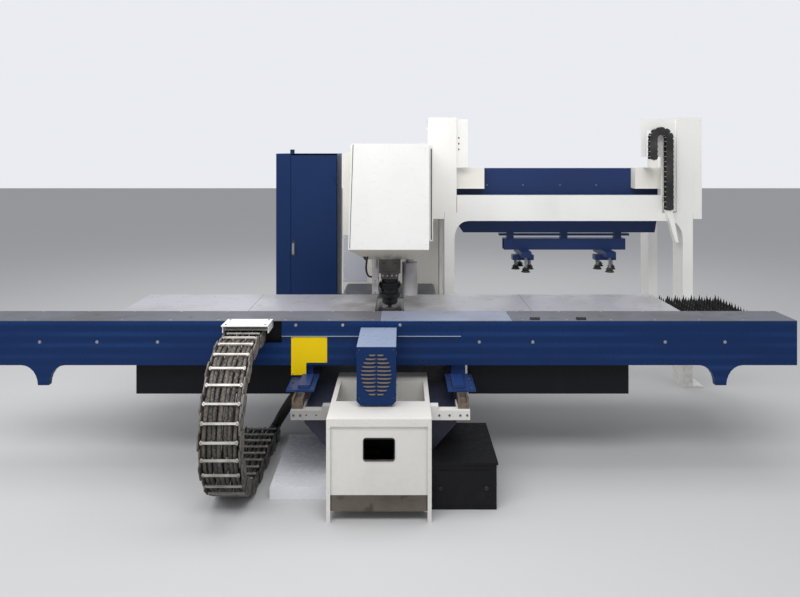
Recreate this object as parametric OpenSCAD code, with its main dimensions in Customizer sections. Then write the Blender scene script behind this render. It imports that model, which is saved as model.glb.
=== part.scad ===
// CNC punch press with a moving coordinate guide, sheet tables and a lifting portal.
// Millimetres. X runs along the guide, Y points to the back and Z points up.
// The origin lies on the floor, on the middle plane of the bed, below the line of the punch.

/* [Bed] */
// Half width of the bed's top
bed_half_w = 450; // [440:1:455]
// Half width of the bed's foot
bed_foot_half_w = 280; // [250:5:288]
// Height of the bed's top
bed_h = 500; // [485:1:510]
// Front end of the bed's shoulders
bed_front_y = -1020; // [-1040:5:-1000]
// Back end of the bed
bed_back_y = 2200; // [2160:10:2400]
// Plate thickness of the bed
bed_wall = 25; // [15:1:40]
// Radius of an anchor hole
anchor_r = 14; // [8:1:18]
// Half spacing of the bed's anchor holes across the bed
anchor_x = 320; // [315:1:330]

/* [Front housing] */
// Half width of the front housing
housing_half_w = 290; // [289:1:296]
// Front face of the housing
housing_y = -1303; // [-1340:1:-1290]
// Back face of the housing
housing_back_y = -548; // [-560:1:-530]
// Height of the housing's flat top
housing_h = 570; // [560:1:575]
// Sheet thickness of the housing
housing_wall = 6; // [3:1:8]
// Width of the flanges beside the front panel
flange_w = 22; // [14:1:30]
// Depth by which the front panel lies behind the flanges
panel_recess = 12; // [6:1:18]
// Lower edge of the front panel
panel_bottom_z = 147; // [130:1:170]
// Upper edge of the front panel
panel_top_z = 529; // [500:1:540]
// Width of the window in the front panel
window_w = 169; // [120:1:260]
// Height of the window in the front panel
window_h = 121; // [80:1:150]
// Lower edge of the window
window_z = 338; // [250:1:360]
// Front edge of the chute trough
trough_y = -1045; // [-1060:1:-1000]
// Length of the chute trough
trough_l = 335; // [250:1:400]
// Depth of the chute trough
trough_h = 270; // [150:5:300]

/* [Slug tray] */
// Underside of the tray
tray_z = 57; // [52:1:70]
// Length of the tray
tray_l = 660; // [500:10:700]
// Sheet thickness of the tray
tray_wall = 4; // [2:1:6]

/* [Guideways] */
// Distance of each guideway from the middle plane
rail_x = 490; // [489:1:493]
// Underside of the arms
arm_z = 471; // [440:1:475]
// Height of the arms
arm_h = 56; // [50:1:58]
// Thickness of an arm from front to back
arm_d = 55; // [40:1:60]
// Width of a bearing block
bearing_w = 64; // [58:1:70]
// Length of a bearing block
bearing_l = 140; // [120:1:150]
// Height of a bearing block
bearing_h = 58; // [55:1:59]
// Width of a guideway rail
rail_w = 40; // [30:1:46]
// Height of a guideway rail
rail_h = 28; // [22:1:32]
// Side clearance of the rails in their bearing blocks
rail_gap = 0.5; // [0.3:0.1:1]
// Width of a Y beam
ybeam_w = 90; // [80:1:90]
// Back end of the Y beams
ybeam_back_y = 440; // [400:10:450]
// Front end of the feet of the Y beams
foot_y = -945; // [-960:1:-930]
// Width of a foot of the Y beams
foot_w = 170; // [120:5:190]

/* [Coordinate guide] */
// Half length of the guide
guide_half_l = 2650; // [2640:5:2700]
// Front face of the guide's cover
cover_y = -725; // [-740:1:-715]
// Lower edge of the guide's cover
cover_bottom_z = 676; // [670:1:685]
// Upper edge of the guide's cover
cover_top_z = 957; // [956:1:965]
// Depth of the cover
cover_d = 35; // [30:1:50]
// Sheet thickness of the cover
cover_wall = 4; // [2:1:5]
// Distance of the cover's lobes from the middle plane
lobe_x = 2163; // [2100:1:2250]
// Width of a lobe at its root
lobe_root_w = 280; // [200:5:340]
// Width of a lobe at its foot
lobe_foot_w = 70; // [50:5:120]
// Height of a lobe
lobe_h = 128; // [80:1:160]
// Depth of the guide's main box
frame_d = 130; // [120:1:140]
// Height of the guide's main box
frame_h = 180; // [170:1:182]
// Underside of the two lower boxes
lower_box_z = 466; // [450:1:500]
// Outer end of the two lower boxes
lower_box_x = 1600; // [1400:10:1900]
// Back edge of the guide's top plates
top_back_y = -475; // [-480:1:-470]
// Thickness of the top plates
top_t = 3; // [2:0.5:4]
// Left joint of the middle top plate
top_joint_left_x = -10; // [-40:1:40]
// Right joint of the middle top plate
top_joint_right_x = 829; // [780:1:880]

/* [Motor cover] */
// Middle of the motor cover
motor_x = -21; // [-40:1:0]
// Width of the motor cover
motor_w = 227; // [210:1:250]
// Front face of the motor cover
motor_y = -1138; // [-1160:1:-1120]
// Underside of the motor cover
motor_z = 582; // [580:1:590]
// Height of the motor cover
motor_h = 336; // [320:1:340]
// Sheet thickness of the motor cover
motor_wall = 3; // [2:0.5:4]
// Half width of the oval vent
vent_a = 88; // [70:1:92]
// Half height of the oval vent
vent_b = 135; // [110:1:140]
// Number of slots in each column of the vent
vent_n = 11; // [7:1:13]
// Radius of the fan
fan_r = 78; // [60:1:84]
// Radius of the fan's shaft
fan_shaft_r = 6; // [4:0.5:8]

/* [Tables] */
// Height of the table surface
table_z = 880; // [879:1:881]
// Sheet thickness of the tables
table_t = 3; // [2:0.5:5]
// Back edge of the tables
table_back_y = 388; // [370:1:400]
// Left end of the left table
table_left_x = -1910; // [-2000:5:-1800]
// Right end of the right table
table_right_x = 2150; // [2100:5:2152]
// Width of the slot between the tables
slot_w = 212; // [206:1:230]
// Depth of the tables' frames
apron_h = 42; // [36:1:46]
// Back edge of the brush table
brush_back_y = 330; // [280:1:350]
// Length of the brush table past the end of the guide
brush_past = 5; // [0:1:20]
// Distance between the brush strips
brush_pitch = 64; // [50:1:80]
// Height of the bristles above the table surface
bristle_rise = 18; // [8:1:24]

/* [Magazine] */
// Length of the magazine rail
magazine_l = 2380; // [2300:10:2390]
// Depth of the magazine rail
magazine_d = 145; // [130:1:145]
// Height of the magazine rail
magazine_h = 52; // [45:1:54]
// Distance of the outer clamps from the middle clamp
clamp_pitch = 850; // [700:10:900]
// Width of a clamp
clamp_w = 80; // [60:1:100]
// Reach of a clamp behind the magazine rail
clamp_reach = 118; // [100:1:120]
// Opening between the jaws
jaw_gap = 8; // [7:0.5:9]
// Radius of a clamp pin
jaw_pin_r = 6; // [4:0.5:7]
// Distance between the tool cassettes
cassette_pitch = 120; // [110:1:140]
// Radius of a stored tool
stored_r = 30; // [24:1:32]

/* [Energy chain] */
// Middle of the big chain
chain_x = -860; // [-870:1:-850]
// Width of the big chain
chain_w = 240; // [200:5:250]
// Height of the chain's section
chain_h = 90; // [80:1:100]
// Bend radius at the middle of the chain's section
chain_r = 410; // [400:1:420]
// Distance between the chain's bars
chain_pitch = 91; // [80:1:110]
// Middle of the chain's bend
chain_bend_y = -925; // [-940:1:-910]
// End of the chain on the floor
chain_end_y = -260; // [-300:1:-240]

/* [Punching head] */
// Line of the punch, measured from the middle plane of the bed
punch_x = 36; // [30:1:42]
// Radius of the ram
ram_r = 60; // [50:1:64]
// Running clearance of the round fits
fit_gap = 0.05; // [0.02:0.01:0.1]
// Radius of the tool head
tool_r = 78; // [70:1:82]
// Height of the tool above the table at rest
tool_rise = 6; // [5:0.5:8]
// Radius of the punch
punch_r = 15; // [10:1:20]
// Radius of the turning die
die_r = 60; // [52:1:66]
// Left side of the upper arm
arm_left_x = -255; // [-262:1:-250]
// Right side of the upper arm
arm_right_x = 355; // [350:1:362]
// Front end of the upper arm
arm_front_y = -100; // [-110:1:-95]
// Underside of the upper arm
upper_z = 1380; // [1375:1:1400]
// Top of the upper arm
upper_top_z = 2085; // [2070:1:2090]
// Plate thickness of the column and arms
frame_wall = 30; // [20:1:40]
// Front face of the head cover
head_y = -320; // [-340:1:-300]
// Underside of the head cover
head_z = 1352; // [1345:1:1360]
// Top of the head cover
head_top_z = 2095; // [2090:1:2100]
// Lean of the head cover's left edge
head_lean = 24; // [0:1:40]
// Sheet thickness of the head cover
head_wall = 4; // [2:1:6]
// Height of the skirt below the head cover
skirt_h = 80; // [60:1:90]

/* [Column] */
// Left side of the column
column_left_x = -440; // [-445:1:-430]
// Right side of the column
column_right_x = 475; // [460:1:480]
// Front face of the column
column_y = 1350; // [1340:1:1360]
// Back face of the column
column_back_y = 2150; // [2100:5:2155]
// Top of the column
column_top_z = 2040; // [2020:1:2060]
// Top of the lower arm
lower_top_z = 765; // [750:1:775]

/* [Cabinet] */
// Width of the cabinet
cabinet_w = 590; // [560:1:600]
// Depth of the cabinet
cabinet_d = 480; // [420:5:520]
// Height of the cabinet
cabinet_h = 2015; // [1900:5:2050]
// Right side of the cabinet
cabinet_right_x = -503; // [-520:1:-500]
// Front face of the cabinet's body
cabinet_y = 1450; // [1440:1:1460]
// Width of the door
door_w = 438; // [400:1:450]
// Thickness of the door
door_t = 22; // [18:1:25]
// Sheet thickness of the cabinet
cabinet_wall = 3; // [2:0.5:4]
// Radius of the door's hinge pins
hinge_r = 5; // [3:0.5:6]

/* [Loader] */
// Middle of the left front leg
leg_left_x = 536; // [530:1:540]
// Distance between the middles of the legs
leg_span = 2054; // [2040:1:2070]
// Width of a leg
leg_w = 86; // [80:1:100]
// Depth of a leg
leg_d = 210; // [180:5:230]
// Front face of the front legs
leg_y = 725; // [720:1:735]
// Front face of the rear legs
rear_leg_y = 1505; // [1450:5:1600]
// Depth of the front beam's underside below the top of the legs
portal_drop = 71; // [60:1:80]
// Height of the front beam
portal_h = 218; // [200:1:225]
// Depth of the front beam
portal_d = 90; // [70:1:120]
// Height of the legs
leg_h = 1510; // [1505:1:1515]
// Height of the towers above the legs
tower_h = 820; // [800:1:840]
// Width of a tower
tower_w = 242; // [225:1:242]
// Depth of a tower
tower_d = 375; // [360:5:400]
// Front face of the lift beam
lift_y = 950; // [945:1:960]
// Height of the lift beam's underside above the legs
lift_rise = 128; // [120:1:135]
// Height of the lift beam
lift_h = 249; // [230:1:252]
// Depth of the lift beam
lift_d = 110; // [100:1:120]
// Depth of the lift apron below the lift beam
apron_drop = 329; // [308:1:348]
// Width of the suction tube
tube_w = 1090; // [1000:10:1200]
// Depth of the suction cups below the lift apron
cup_drop = 335; // [318:1:350]
// Bend radius of the small chain
drag_r = 68; // [60:1:72]
// Section of the small chain
drag_h = 70; // [50:1:74]

/* [Hidden] */

// Facets of round pieces, and a small step that lets a cut run past a face
round_fn = 48;
cut = 1;

// Levels of the guideways, from the arms up to the Y beams
arm_top_z = arm_z + arm_h;
ybeam_z = arm_top_z + bearing_h + 2;
ybeam_top_z = frame_z();
arm_reach = rail_x + 35;
bearing_ys = [bed_front_y + 40, -560, -140, 280];

// Levels and faces of the guide
frame_y = cover_y + cover_d;
frame_back_y = frame_y + frame_d;
frame_top_z = frame_z() + frame_h;
frame_half_l = guide_half_l - 50;
top_z = cover_top_z + top_t;
panel_t = 6;
panel_left_x = chain_x + 220;
panel_right_x = 504;
panel_z = 862;
notch_w = 363;
notch_z = 820;

// The vent and the motor behind it
vent_z = motor_z + 0.51 * motor_h;
fan_y = motor_y + motor_wall + 50;

// Tables
slot_left_x = punch_x - slot_w / 2;
slot_right_x = punch_x + slot_w / 2;
rib_ys = [-200, 300];
brush_x = table_right_x + 10;
brush_w = guide_half_l + brush_past - brush_x;
brush_base_z = table_z - 42;

// Magazine
shoe_rail_w = 30;
shoe_rail_h = 20;
magazine_z = frame_top_z + shoe_rail_h + rail_gap;
magazine_back_y = top_back_y - 10;
shoe_rail_y = frame_y + 85;
clamp_xs = [-clamp_pitch, 0, clamp_pitch];
jaw_pin_y = magazine_back_y + 48;
jaw_pin_z = table_z + 36;
cassette_xs = [for (side = [-1, 1], i = [0 : 4]) side * (clamp_w / 2 + 70 + i * cassette_pitch)];

// Head
ram_bottom_z = table_z + 219;
tool_z = table_z + tool_rise;
guide_block_top_z = 1700;
skirt_z = head_z - skirt_h;
head_left_x = arm_left_x + 4;
head_right_x = arm_right_x - 38;
skirt_left_x = punch_x - 168;
skirt_right_x = punch_x + 195;

// Cabinet
cabinet_left_x = cabinet_right_x - cabinet_w;
hinge_x = cabinet_right_x - 8;
hinge_y = cabinet_y - door_t - 12;
door_z = 100;
door_h = cabinet_h - door_z - 15;
handle_x = hinge_x - door_w + 24;
handle_z = 1058;
plinth_h = 80;

// Loader
leg_right_x = leg_left_x + leg_span;
portal_z = leg_h - portal_drop;
tower_z = leg_h + 6;
tower_top_z = leg_h + tower_h;
lift_z = leg_h + lift_rise;
apron_z = lift_z - apron_drop;
cup_z = apron_z - cup_drop;
tower_left_x = leg_left_x + leg_w / 2 + 18 - tower_w;
tower_right_x = leg_right_x - leg_w / 2 - 51;
plate_w = 99;
tower_plate_z = leg_h + 390;
lift_left_x = tower_left_x + tower_w + 4;
lift_right_x = tower_right_x - 78;
tube_x = 0.5 * (lift_left_x + lift_right_x) + 78;
tube_s = 100;
tube_z = cup_z + 181;
drag_fixed_x = lift_right_x - 11;
drag_free_x = drag_fixed_x - 2 * drag_r;
drag_y = leg_y - 12;
drag_w = 60;
drag_top_z = leg_h + 635;
drag_low_z = leg_h + 25;
drag_bracket_z = lift_z + lift_h + 85;

// Route of the hose bundle, from the big chain's fixed end up to the bed's shoulder
hose_r = 36;
hose_route = [[-790, chain_end_y + 0.5, 50], [-790, chain_end_y + 40, 50], [-780, -190, 66],
              [-758, -170, 105], [-722, -172, 165], [-688, -205, 222], [-655, -250, 276],
              [-622, -295, 325], [-585, -330, 368], [-545, -346, 408], [-505, -350, 440],
              [-480, -350, 448], [-bed_half_w - 0.5, -350, 448]];
// Route of the thin hose from the skirt to the gearbox beside the ram
thin_r = 7;
thin_route = [[skirt_left_x + 4, -170, skirt_z - 0.5], [skirt_left_x + 4, -170, skirt_z - 22],
              [-134, -150, 1205], [-134, -115, 1165], [-128, -75, 1132], [-120, -40, 1112], [-108, -22, 1104],
              [punch_x - 131.5, -22, 1104]];

// Underside of the guide's main box, which rests on the Y beams
function frame_z() = 690;

module block(xs, ys, zs)
  translate([xs[0], ys[0], zs[0]]) cube([xs[1] - xs[0], ys[1] - ys[0], zs[1] - zs[0]]);

// A flat shape drawn in X and Z, carried along Y
module along_y(y0, y1)
  translate([0, y1, 0]) rotate([90, 0, 0]) linear_extrude(y1 - y0) children();

// A flat shape drawn in Y and Z, carried along X
module along_x(x0, x1)
  translate([x0, 0, 0]) rotate([90, 0, 90]) linear_extrude(x1 - x0) children();

// A round bar along Y
module rod_y(x, z, y0, y1, r)
  translate([x, y1, z]) rotate([90, 0, 0]) cylinder(r = r, h = y1 - y0, $fn = round_fn);

// A round bar along X
module rod_x(y, z, x0, x1, r)
  translate([x0, y, z]) rotate([0, 90, 0]) cylinder(r = r, h = x1 - x0, $fn = round_fn);

// A round bar along Z
module rod_z(x, y, z0, z1, r)
  translate([x, y, z0]) cylinder(r = r, h = z1 - z0, $fn = round_fn);

// Section of the bed: a narrow foot that widens into shoulders
function bed_section(t) = let(f = bed_foot_half_w - t, w = bed_half_w - t, top = bed_h - t)
  [[-f, t], [f, t], [f, 240], [w, 430], [w, top], [-w, top], [-w, 430], [-f, 240]];

module bed_body() color("#1c2448") difference() {
  union() {
    along_y(bed_front_y, bed_back_y) polygon(bed_section(0));
    for (y = [-250, bed_back_y - 350])
      block([-anchor_x - 40, anchor_x + 40], [y - 60, y + 60], [0, 30]);
  }
  block([-housing_half_w, housing_half_w], [bed_front_y - cut, housing_back_y], [-cut, bed_h + cut]);
  along_y(housing_back_y + bed_wall, bed_back_y + cut) polygon(bed_section(bed_wall));
  for (x = [-anchor_x, anchor_x], y = [-250, bed_back_y - 350]) rod_z(x, y, -cut, 31, anchor_r);
}

module rounded_window(w, h, r) {
  square([w - 2 * r, h], center = true);
  square([w, h - 2 * r], center = true);
  for (sx = [-1, 1], sy = [-1, 1])
    translate([sx * (w / 2 - r), sy * (h / 2 - r)]) circle(r = r, $fn = 32);
}

// Folded front housing with flanges, recessed panel, flat top and open chute trough
module front_housing() color("#e8e6dc") {
  inner = housing_half_w - housing_wall;
  trough_half_w = housing_half_w - 28;
  panel_y = housing_y + panel_recess;
  trough_back_y = trough_y + trough_l;
  leg_top_z = 120;
  difference() {
    union() {
      for (s = [-1, 1]) {
        block(s > 0 ? [inner, housing_half_w] : [-housing_half_w, -inner],
              [housing_y, housing_back_y], [leg_top_z, housing_h]);
        block(s > 0 ? [housing_half_w - flange_w, housing_half_w]
                    : [-housing_half_w, flange_w - housing_half_w],
              [housing_y, housing_y + housing_wall], [leg_top_z, housing_h]);
        for (y = [housing_y, housing_back_y - flange_w])
          block(s > 0 ? [housing_half_w - flange_w, housing_half_w]
                      : [-housing_half_w, flange_w - housing_half_w],
                [y, y + flange_w], [0, leg_top_z]);
        block(s > 0 ? [inner - 34, inner] : [-inner, 34 - inner],
              [panel_y + tray_wall + 2, housing_back_y - flange_w], [tray_z - 6.5, tray_z - 0.5]);
        block(s > 0 ? [inner - 4, inner] : [-inner, 4 - inner],
              [panel_y + tray_wall + 2, housing_back_y - flange_w], [tray_z - 6.5, leg_top_z + 8]);
      }
      block([-inner, inner], [panel_y, panel_y + housing_wall], [panel_bottom_z, panel_top_z + 6]);
      block([-housing_half_w, housing_half_w], [housing_y, housing_y + housing_wall],
            [panel_top_z, housing_h]);
      block([-inner, inner], [housing_y, panel_y + housing_wall], [panel_top_z, panel_top_z + 6]);
      block([-housing_half_w, housing_half_w], [housing_y, housing_back_y], [housing_h - 6, housing_h]);
      block([-trough_half_w - 4, trough_half_w + 4], [trough_y - 4, trough_back_y + 4],
            [housing_h - trough_h - 4, housing_h]);
    }
    translate([0, panel_y - cut, window_z + window_h / 2]) rotate([-90, 0, 0])
      linear_extrude(housing_wall + 2 * cut) rounded_window(window_w, window_h, 12);
    block([-trough_half_w, trough_half_w], [trough_y, trough_back_y],
          [housing_h - trough_h, housing_h + cut]);
  }
}

module slug_tray() color("#55534f") {
  half = housing_half_w - flange_w - 4;
  front_y = housing_y + panel_recess;
  top = panel_bottom_z - 2;
  difference() {
    block([-half, half], [front_y, front_y + tray_l], [tray_z, top]);
    block([tray_wall - half, half - tray_wall], [front_y + tray_wall, front_y + tray_l - tray_wall],
          [tray_z + tray_wall, top + cut]);
    block([-half - cut, half + cut], [front_y + tray_wall + 8, front_y + tray_l + cut], [top - 8, top + cut]);
  }
}

// Pan on the floor beside the housing, and the plate below the fixed end of the big chain
module floor_pan() color("#e4e4e6") {
  pan_left_x = -650;
  pan_h = 72;
  pan_y = -1060;
  pan_back_y = -400;
  difference() {
    block([pan_left_x, -housing_half_w], [pan_y, pan_back_y], [0, pan_h]);
    block([pan_left_x + 4, -housing_half_w - 4], [pan_y + 4, pan_back_y - 4], [-cut, pan_h - 4]);
  }
  block([pan_left_x, -housing_half_w - 30], [pan_back_y - 4, pan_back_y], [pan_h, pan_h + 22]);
  block([chain_x - chain_w / 2 - 10, chain_x + chain_w / 2 + 10],
        [chain_end_y - 200, chain_end_y + 20], [0, 5]);
}

module service_box() color("#15171b") {
  box_right_x = 667;
  box_y = -1170;
  box_back_y = -640;
  box_h = 270;
  difference() {
    union() {
      block([housing_half_w, box_right_x], [box_y, box_back_y], [0, box_h - 12]);
      block([housing_half_w, box_right_x + 8], [box_y - 8, box_back_y + 8], [box_h - 12, box_h]);
    }
    along_y(bed_front_y - cut, bed_back_y) polygon(bed_section(-1));
  }
}

// One front arm: bar across the bed's shoulder, root block and pad below the bearing block
module front_arm(holes) {
  pad_y = bearing_ys[0] + bearing_l / 2 + 5;
  difference() {
    union() {
      block([housing_half_w, arm_reach], [bed_front_y - arm_d, bed_front_y], [arm_z, arm_top_z]);
      block([housing_half_w, housing_half_w + 50], [bed_front_y - arm_d, bed_front_y],
            [arm_z, arm_top_z + 24]);
      block([bed_half_w, arm_reach], [bed_front_y - arm_d, pad_y], [arm_z, arm_top_z]);
    }
    if (holes)
      for (x = [375, 433])
        rod_y(x, arm_z + arm_h / 2, bed_front_y - arm_d - cut, bed_front_y - arm_d + 20, 5);
  }
}

module front_arm_left() color("#a9a49c") mirror([1, 0, 0]) front_arm(true);
module front_arm_right() color("#e8e6dc") front_arm(false);

// Brackets on the bed's sides that carry the other bearing blocks
module outriggers() color("#1c2448")
  for (i = [1 : len(bearing_ys) - 1]) {
    y = bearing_ys[i];
    half = bearing_l / 2 + 5;
    block([bed_half_w, arm_reach], [y - half, y + half], [380, arm_top_z]);
    block([-arm_reach, -bed_half_w], [y - half, y + half], [380, arm_top_z]);
  }

module bearing_blocks() color("#6a5f55")
  for (s = [-1, 1], y = bearing_ys) {
    slot_half = rail_w / 2 + rail_gap;
    difference() {
      block([s * rail_x - bearing_w / 2, s * rail_x + bearing_w / 2],
            [y - bearing_l / 2, y + bearing_l / 2], [arm_top_z, arm_top_z + bearing_h]);
      block([s * rail_x - slot_half, s * rail_x + slot_half],
            [y - bearing_l / 2 - cut, y + bearing_l / 2 + cut],
            [ybeam_z - rail_h - rail_gap, ybeam_z]);
    }
  }

// Lower arm of the C-frame: a nose under the die that widens to the column
module lower_arm() color("#8b8c8c") {
  nose_left_x = punch_x - 186;
  nose_right_x = punch_x + 186;
  root_left_x = column_left_x + 40;
  root_right_x = column_right_x - 45;
  widen_y = 640;
  sweep_l = 300;
  difference() {
    union() {
      translate([0, 0, bed_h]) linear_extrude(lower_top_z - bed_h)
        polygon(concat(
          [[nose_left_x, -60], [nose_right_x, -60], [nose_right_x, widen_y]],
          [for (a = [15 : 15 : 90]) [nose_right_x + (root_right_x - nose_right_x) * (1 - cos(a)),
                                     widen_y + sweep_l * sin(a)]],
          [[root_right_x, column_y], [root_left_x, column_y]],
          [for (a = [90 : -15 : 0]) [nose_left_x - (nose_left_x - root_left_x) * (1 - cos(a)),
                                     widen_y + sweep_l * sin(a)]]));
      block([punch_x - die_r - 28, punch_x + die_r + 28], [-90, 330], [lower_top_z - 60, table_z - 50]);
    }
    rod_z(punch_x, 0, bed_h - cut, table_z, 40);
  }
}

module throat_plate() color("#5b6066")
  translate([0, 0, lower_top_z]) linear_extrude(6)
    let(x0 = column_left_x + 55, x1 = column_right_x - 60, y = column_y - 350, r = (x1 - x0) / 2)
      polygon(concat([[x0, y], [x0, column_y], [x1, column_y], [x1, y]],
                     [for (a = [0 : 15 : 180]) [x0 + r + r * cos(a), y - 250 * sin(a)]]));

// Hollow column, chamfered at its top left corner and closed by a panel at the back
module column() color("#e3dcc6") {
  chamfer_x = 56;
  chamfer_z = 36;
  difference() {
    along_y(column_y, column_back_y)
      polygon([[column_left_x, bed_h], [column_right_x, bed_h], [column_right_x, column_top_z],
               [column_left_x + chamfer_x, column_top_z], [column_left_x, column_top_z - chamfer_z]]);
    block([column_left_x + frame_wall, column_right_x - frame_wall],
          [column_y + frame_wall, column_back_y + cut], [bed_h + frame_wall, column_top_z - 70]);
  }
  block([column_left_x + 60, column_right_x - 60], [column_back_y, column_back_y + 12],
        [bed_h + 60, column_top_z - 110]);
  block([column_left_x + 20, column_right_x - 20], [column_back_y, column_back_y + 4],
        [bed_h + 20, column_top_z - 60]);
  block([column_left_x + 6, arm_left_x + 45], [column_y - 4, column_y], [lower_top_z + 25, 1236]);
}

module upper_arm() color("#e3dcc6")
  difference() {
    block([arm_left_x, arm_right_x], [arm_front_y, column_y], [upper_z, upper_top_z]);
    block([arm_left_x + frame_wall, arm_right_x - frame_wall],
          [arm_front_y - cut, column_y - frame_wall], [upper_z + frame_wall, upper_top_z - frame_wall]);
    rod_z(punch_x, 0, upper_z - cut, upper_z + frame_wall + cut, ram_r + 15);
  }

// Outline of the head cover in X and Z, set in by t, with a leaning left edge
function head_outline(t) =
  [[head_left_x + t, head_z - (t > 0 ? cut : 0)], [head_right_x - t, head_z - (t > 0 ? cut : 0)],
   [head_right_x - t, head_top_z - t], [head_left_x + head_lean + t, head_top_z - t]];

module head_cover() color("#f4f3ee")
  difference() {
    along_y(head_y, arm_front_y) polygon(head_outline(0));
    along_y(head_y + head_wall, arm_front_y + cut) polygon(head_outline(head_wall));
  }

// Sheet skirt that narrows from the head cover down to the tool opening
module head_skirt() color("#d9d2bc") {
  front_y = head_y + 10;
  back_y = arm_front_y;
  lip = 3;
  difference() {
    union() {
      hull() {
        block([head_left_x, head_right_x], [head_y, back_y], [head_z - lip, head_z]);
        block([skirt_left_x, skirt_right_x], [front_y + 60, back_y], [skirt_z, skirt_z + lip]);
      }
    }
    hull() {
      block([head_left_x + 8, head_right_x - 8], [head_y + 8, back_y + cut], [head_z, head_z + cut]);
      block([skirt_left_x + 8, skirt_right_x - 8], [front_y + 68, back_y + cut],
            [skirt_z - cut, skirt_z]);
    }
  }
  rod_y(skirt_left_x + 4, skirt_z + 12, front_y + 30, front_y + 62, 14);
}

module ram_guide() color("#4b4f55")
  difference() {
    block([punch_x - 110, punch_x + 110], [-95, 110], [upper_z + frame_wall, guide_block_top_z]);
    rod_z(punch_x, 0, upper_z, guide_block_top_z + cut, ram_r + fit_gap);
  }

module press_cylinder() color("#2d3b57") {
  top = upper_top_z - frame_wall - 30;
  difference() {
    rod_z(punch_x, 0, guide_block_top_z, top, 92);
    rod_z(punch_x, 0, guide_block_top_z - cut, top - 60, ram_r + 12);
  }
  block([punch_x - 150, punch_x - 88], [-30, 30], [guide_block_top_z + 120, guide_block_top_z + 200]);
}

// Gearbox that turns the tool, beside the ram
module index_gearbox() color("#c9cac6") {
  block([punch_x - 131, punch_x - 86], [-60, 20], [table_z + 105, upper_z]);
  block([punch_x - 131, punch_x - 82], [-66, 26], [table_z + 170, table_z + 215]);
  block([punch_x - 131, punch_x - 82], [-66, 26], [table_z + 105, table_z + 130]);
  rod_z(punch_x - 108, -76, table_z + 300, table_z + 400, 14);
  block([punch_x - 116, punch_x - 100], [-70, -58], [table_z + 320, table_z + 380]);
}

module strip_cylinder() color("#a8aaab") {
  x = punch_x + tool_r + 72;
  rod_z(x, 0, table_z + 90, table_z + 330, 57);
  rod_z(x, 0, table_z + 150, table_z + 162, 60);
  rod_z(x, 0, table_z + 330, upper_z, 30);
}

// Ram with its square chuck and the socket for the tool's spindle
module ram() color("#3a3d42") {
  difference() {
    union() {
      rod_z(punch_x, 0, ram_bottom_z + 150, guide_block_top_z + 60, ram_r);
      block([punch_x - 80, punch_x + 80], [-80, 80], [ram_bottom_z + 40, ram_bottom_z + 165]);
      block([punch_x - 64, punch_x + 64], [-88, 84], [ram_bottom_z, ram_bottom_z + 52]);
      for (s = [-1, 1]) rod_y(punch_x + s * 46, ram_bottom_z + 100, -92, -78, 16);
      rod_y(punch_x, ram_bottom_z + 130, -96, -78, 24);
    }
    rod_z(punch_x, 0, ram_bottom_z - cut, ram_bottom_z + 90, 25 + fit_gap);
  }
}

// Turning tool: spindle, stepped head and punch
module punch_tool() color("#2f3134")
  translate([punch_x, 0, 0]) rotate_extrude($fn = 64)
    polygon([[0, table_z + tool_rise - 2], [punch_r, tool_z - 2], [punch_r, tool_z + 14], [48, tool_z + 14],
             [58, tool_z + 24], [58, tool_z + 62], [tool_r, tool_z + 70], [tool_r, tool_z + 96],
             [66, tool_z + 102], [66, tool_z + 132], [tool_r, tool_z + 138], [tool_r, tool_z + 176],
             [62, tool_z + 182], [62, ram_bottom_z - 2], [25, ram_bottom_z - 2],
             [25, ram_bottom_z + 80], [0, ram_bottom_z + 80]]);

module die_holder() color("#3d4044")
  difference() {
    union() {
      rod_z(punch_x, 0, table_z - 50, table_z - 10, die_r + 26);
      rod_z(punch_x, 0, table_z - 10, table_z - 4, die_r + 14);
    }
    rod_z(punch_x, 0, table_z - 30, table_z, die_r + fit_gap);
    rod_z(punch_x, 0, table_z - 50 - cut, table_z, 40);
  }

module die() color("#8f9398")
  difference() {
    rod_z(punch_x, 0, table_z - 29.5, table_z - 1, die_r);
    rod_z(punch_x, 0, table_z - 30, table_z, punch_r + 0.4);
  }

// Welded frame of the guide: main box, upstand below the top plates and two lower boxes
module guide_frame() color("#161a2e") {
  wall = 10;
  difference() {
    block([-frame_half_l, frame_half_l], [frame_y, frame_back_y], [frame_z(), frame_top_z]);
    block([-frame_half_l - cut, frame_half_l + cut], [frame_y + wall, frame_back_y - wall],
          [frame_z() + wall, frame_top_z - wall]);
  }
  block([-frame_half_l, frame_half_l], [frame_y, frame_y + 15], [frame_top_z, cover_top_z]);
  for (s = [-1, 1]) difference() {
    xs = s > 0 ? [560, lower_box_x] : [-lower_box_x, -560];
    block(xs, [frame_y + 40, frame_back_y], [lower_box_z, frame_z()]);
    block([xs[0] + wall, xs[1] - wall], [frame_y + 40 + wall, frame_back_y - wall],
          [lower_box_z - cut, frame_z() - wall]);
  }
  block([-frame_half_l + 40, frame_half_l - 40],
        [shoe_rail_y - shoe_rail_w / 2, shoe_rail_y + shoe_rail_w / 2],
        [frame_top_z, frame_top_z + shoe_rail_h]);
}

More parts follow.
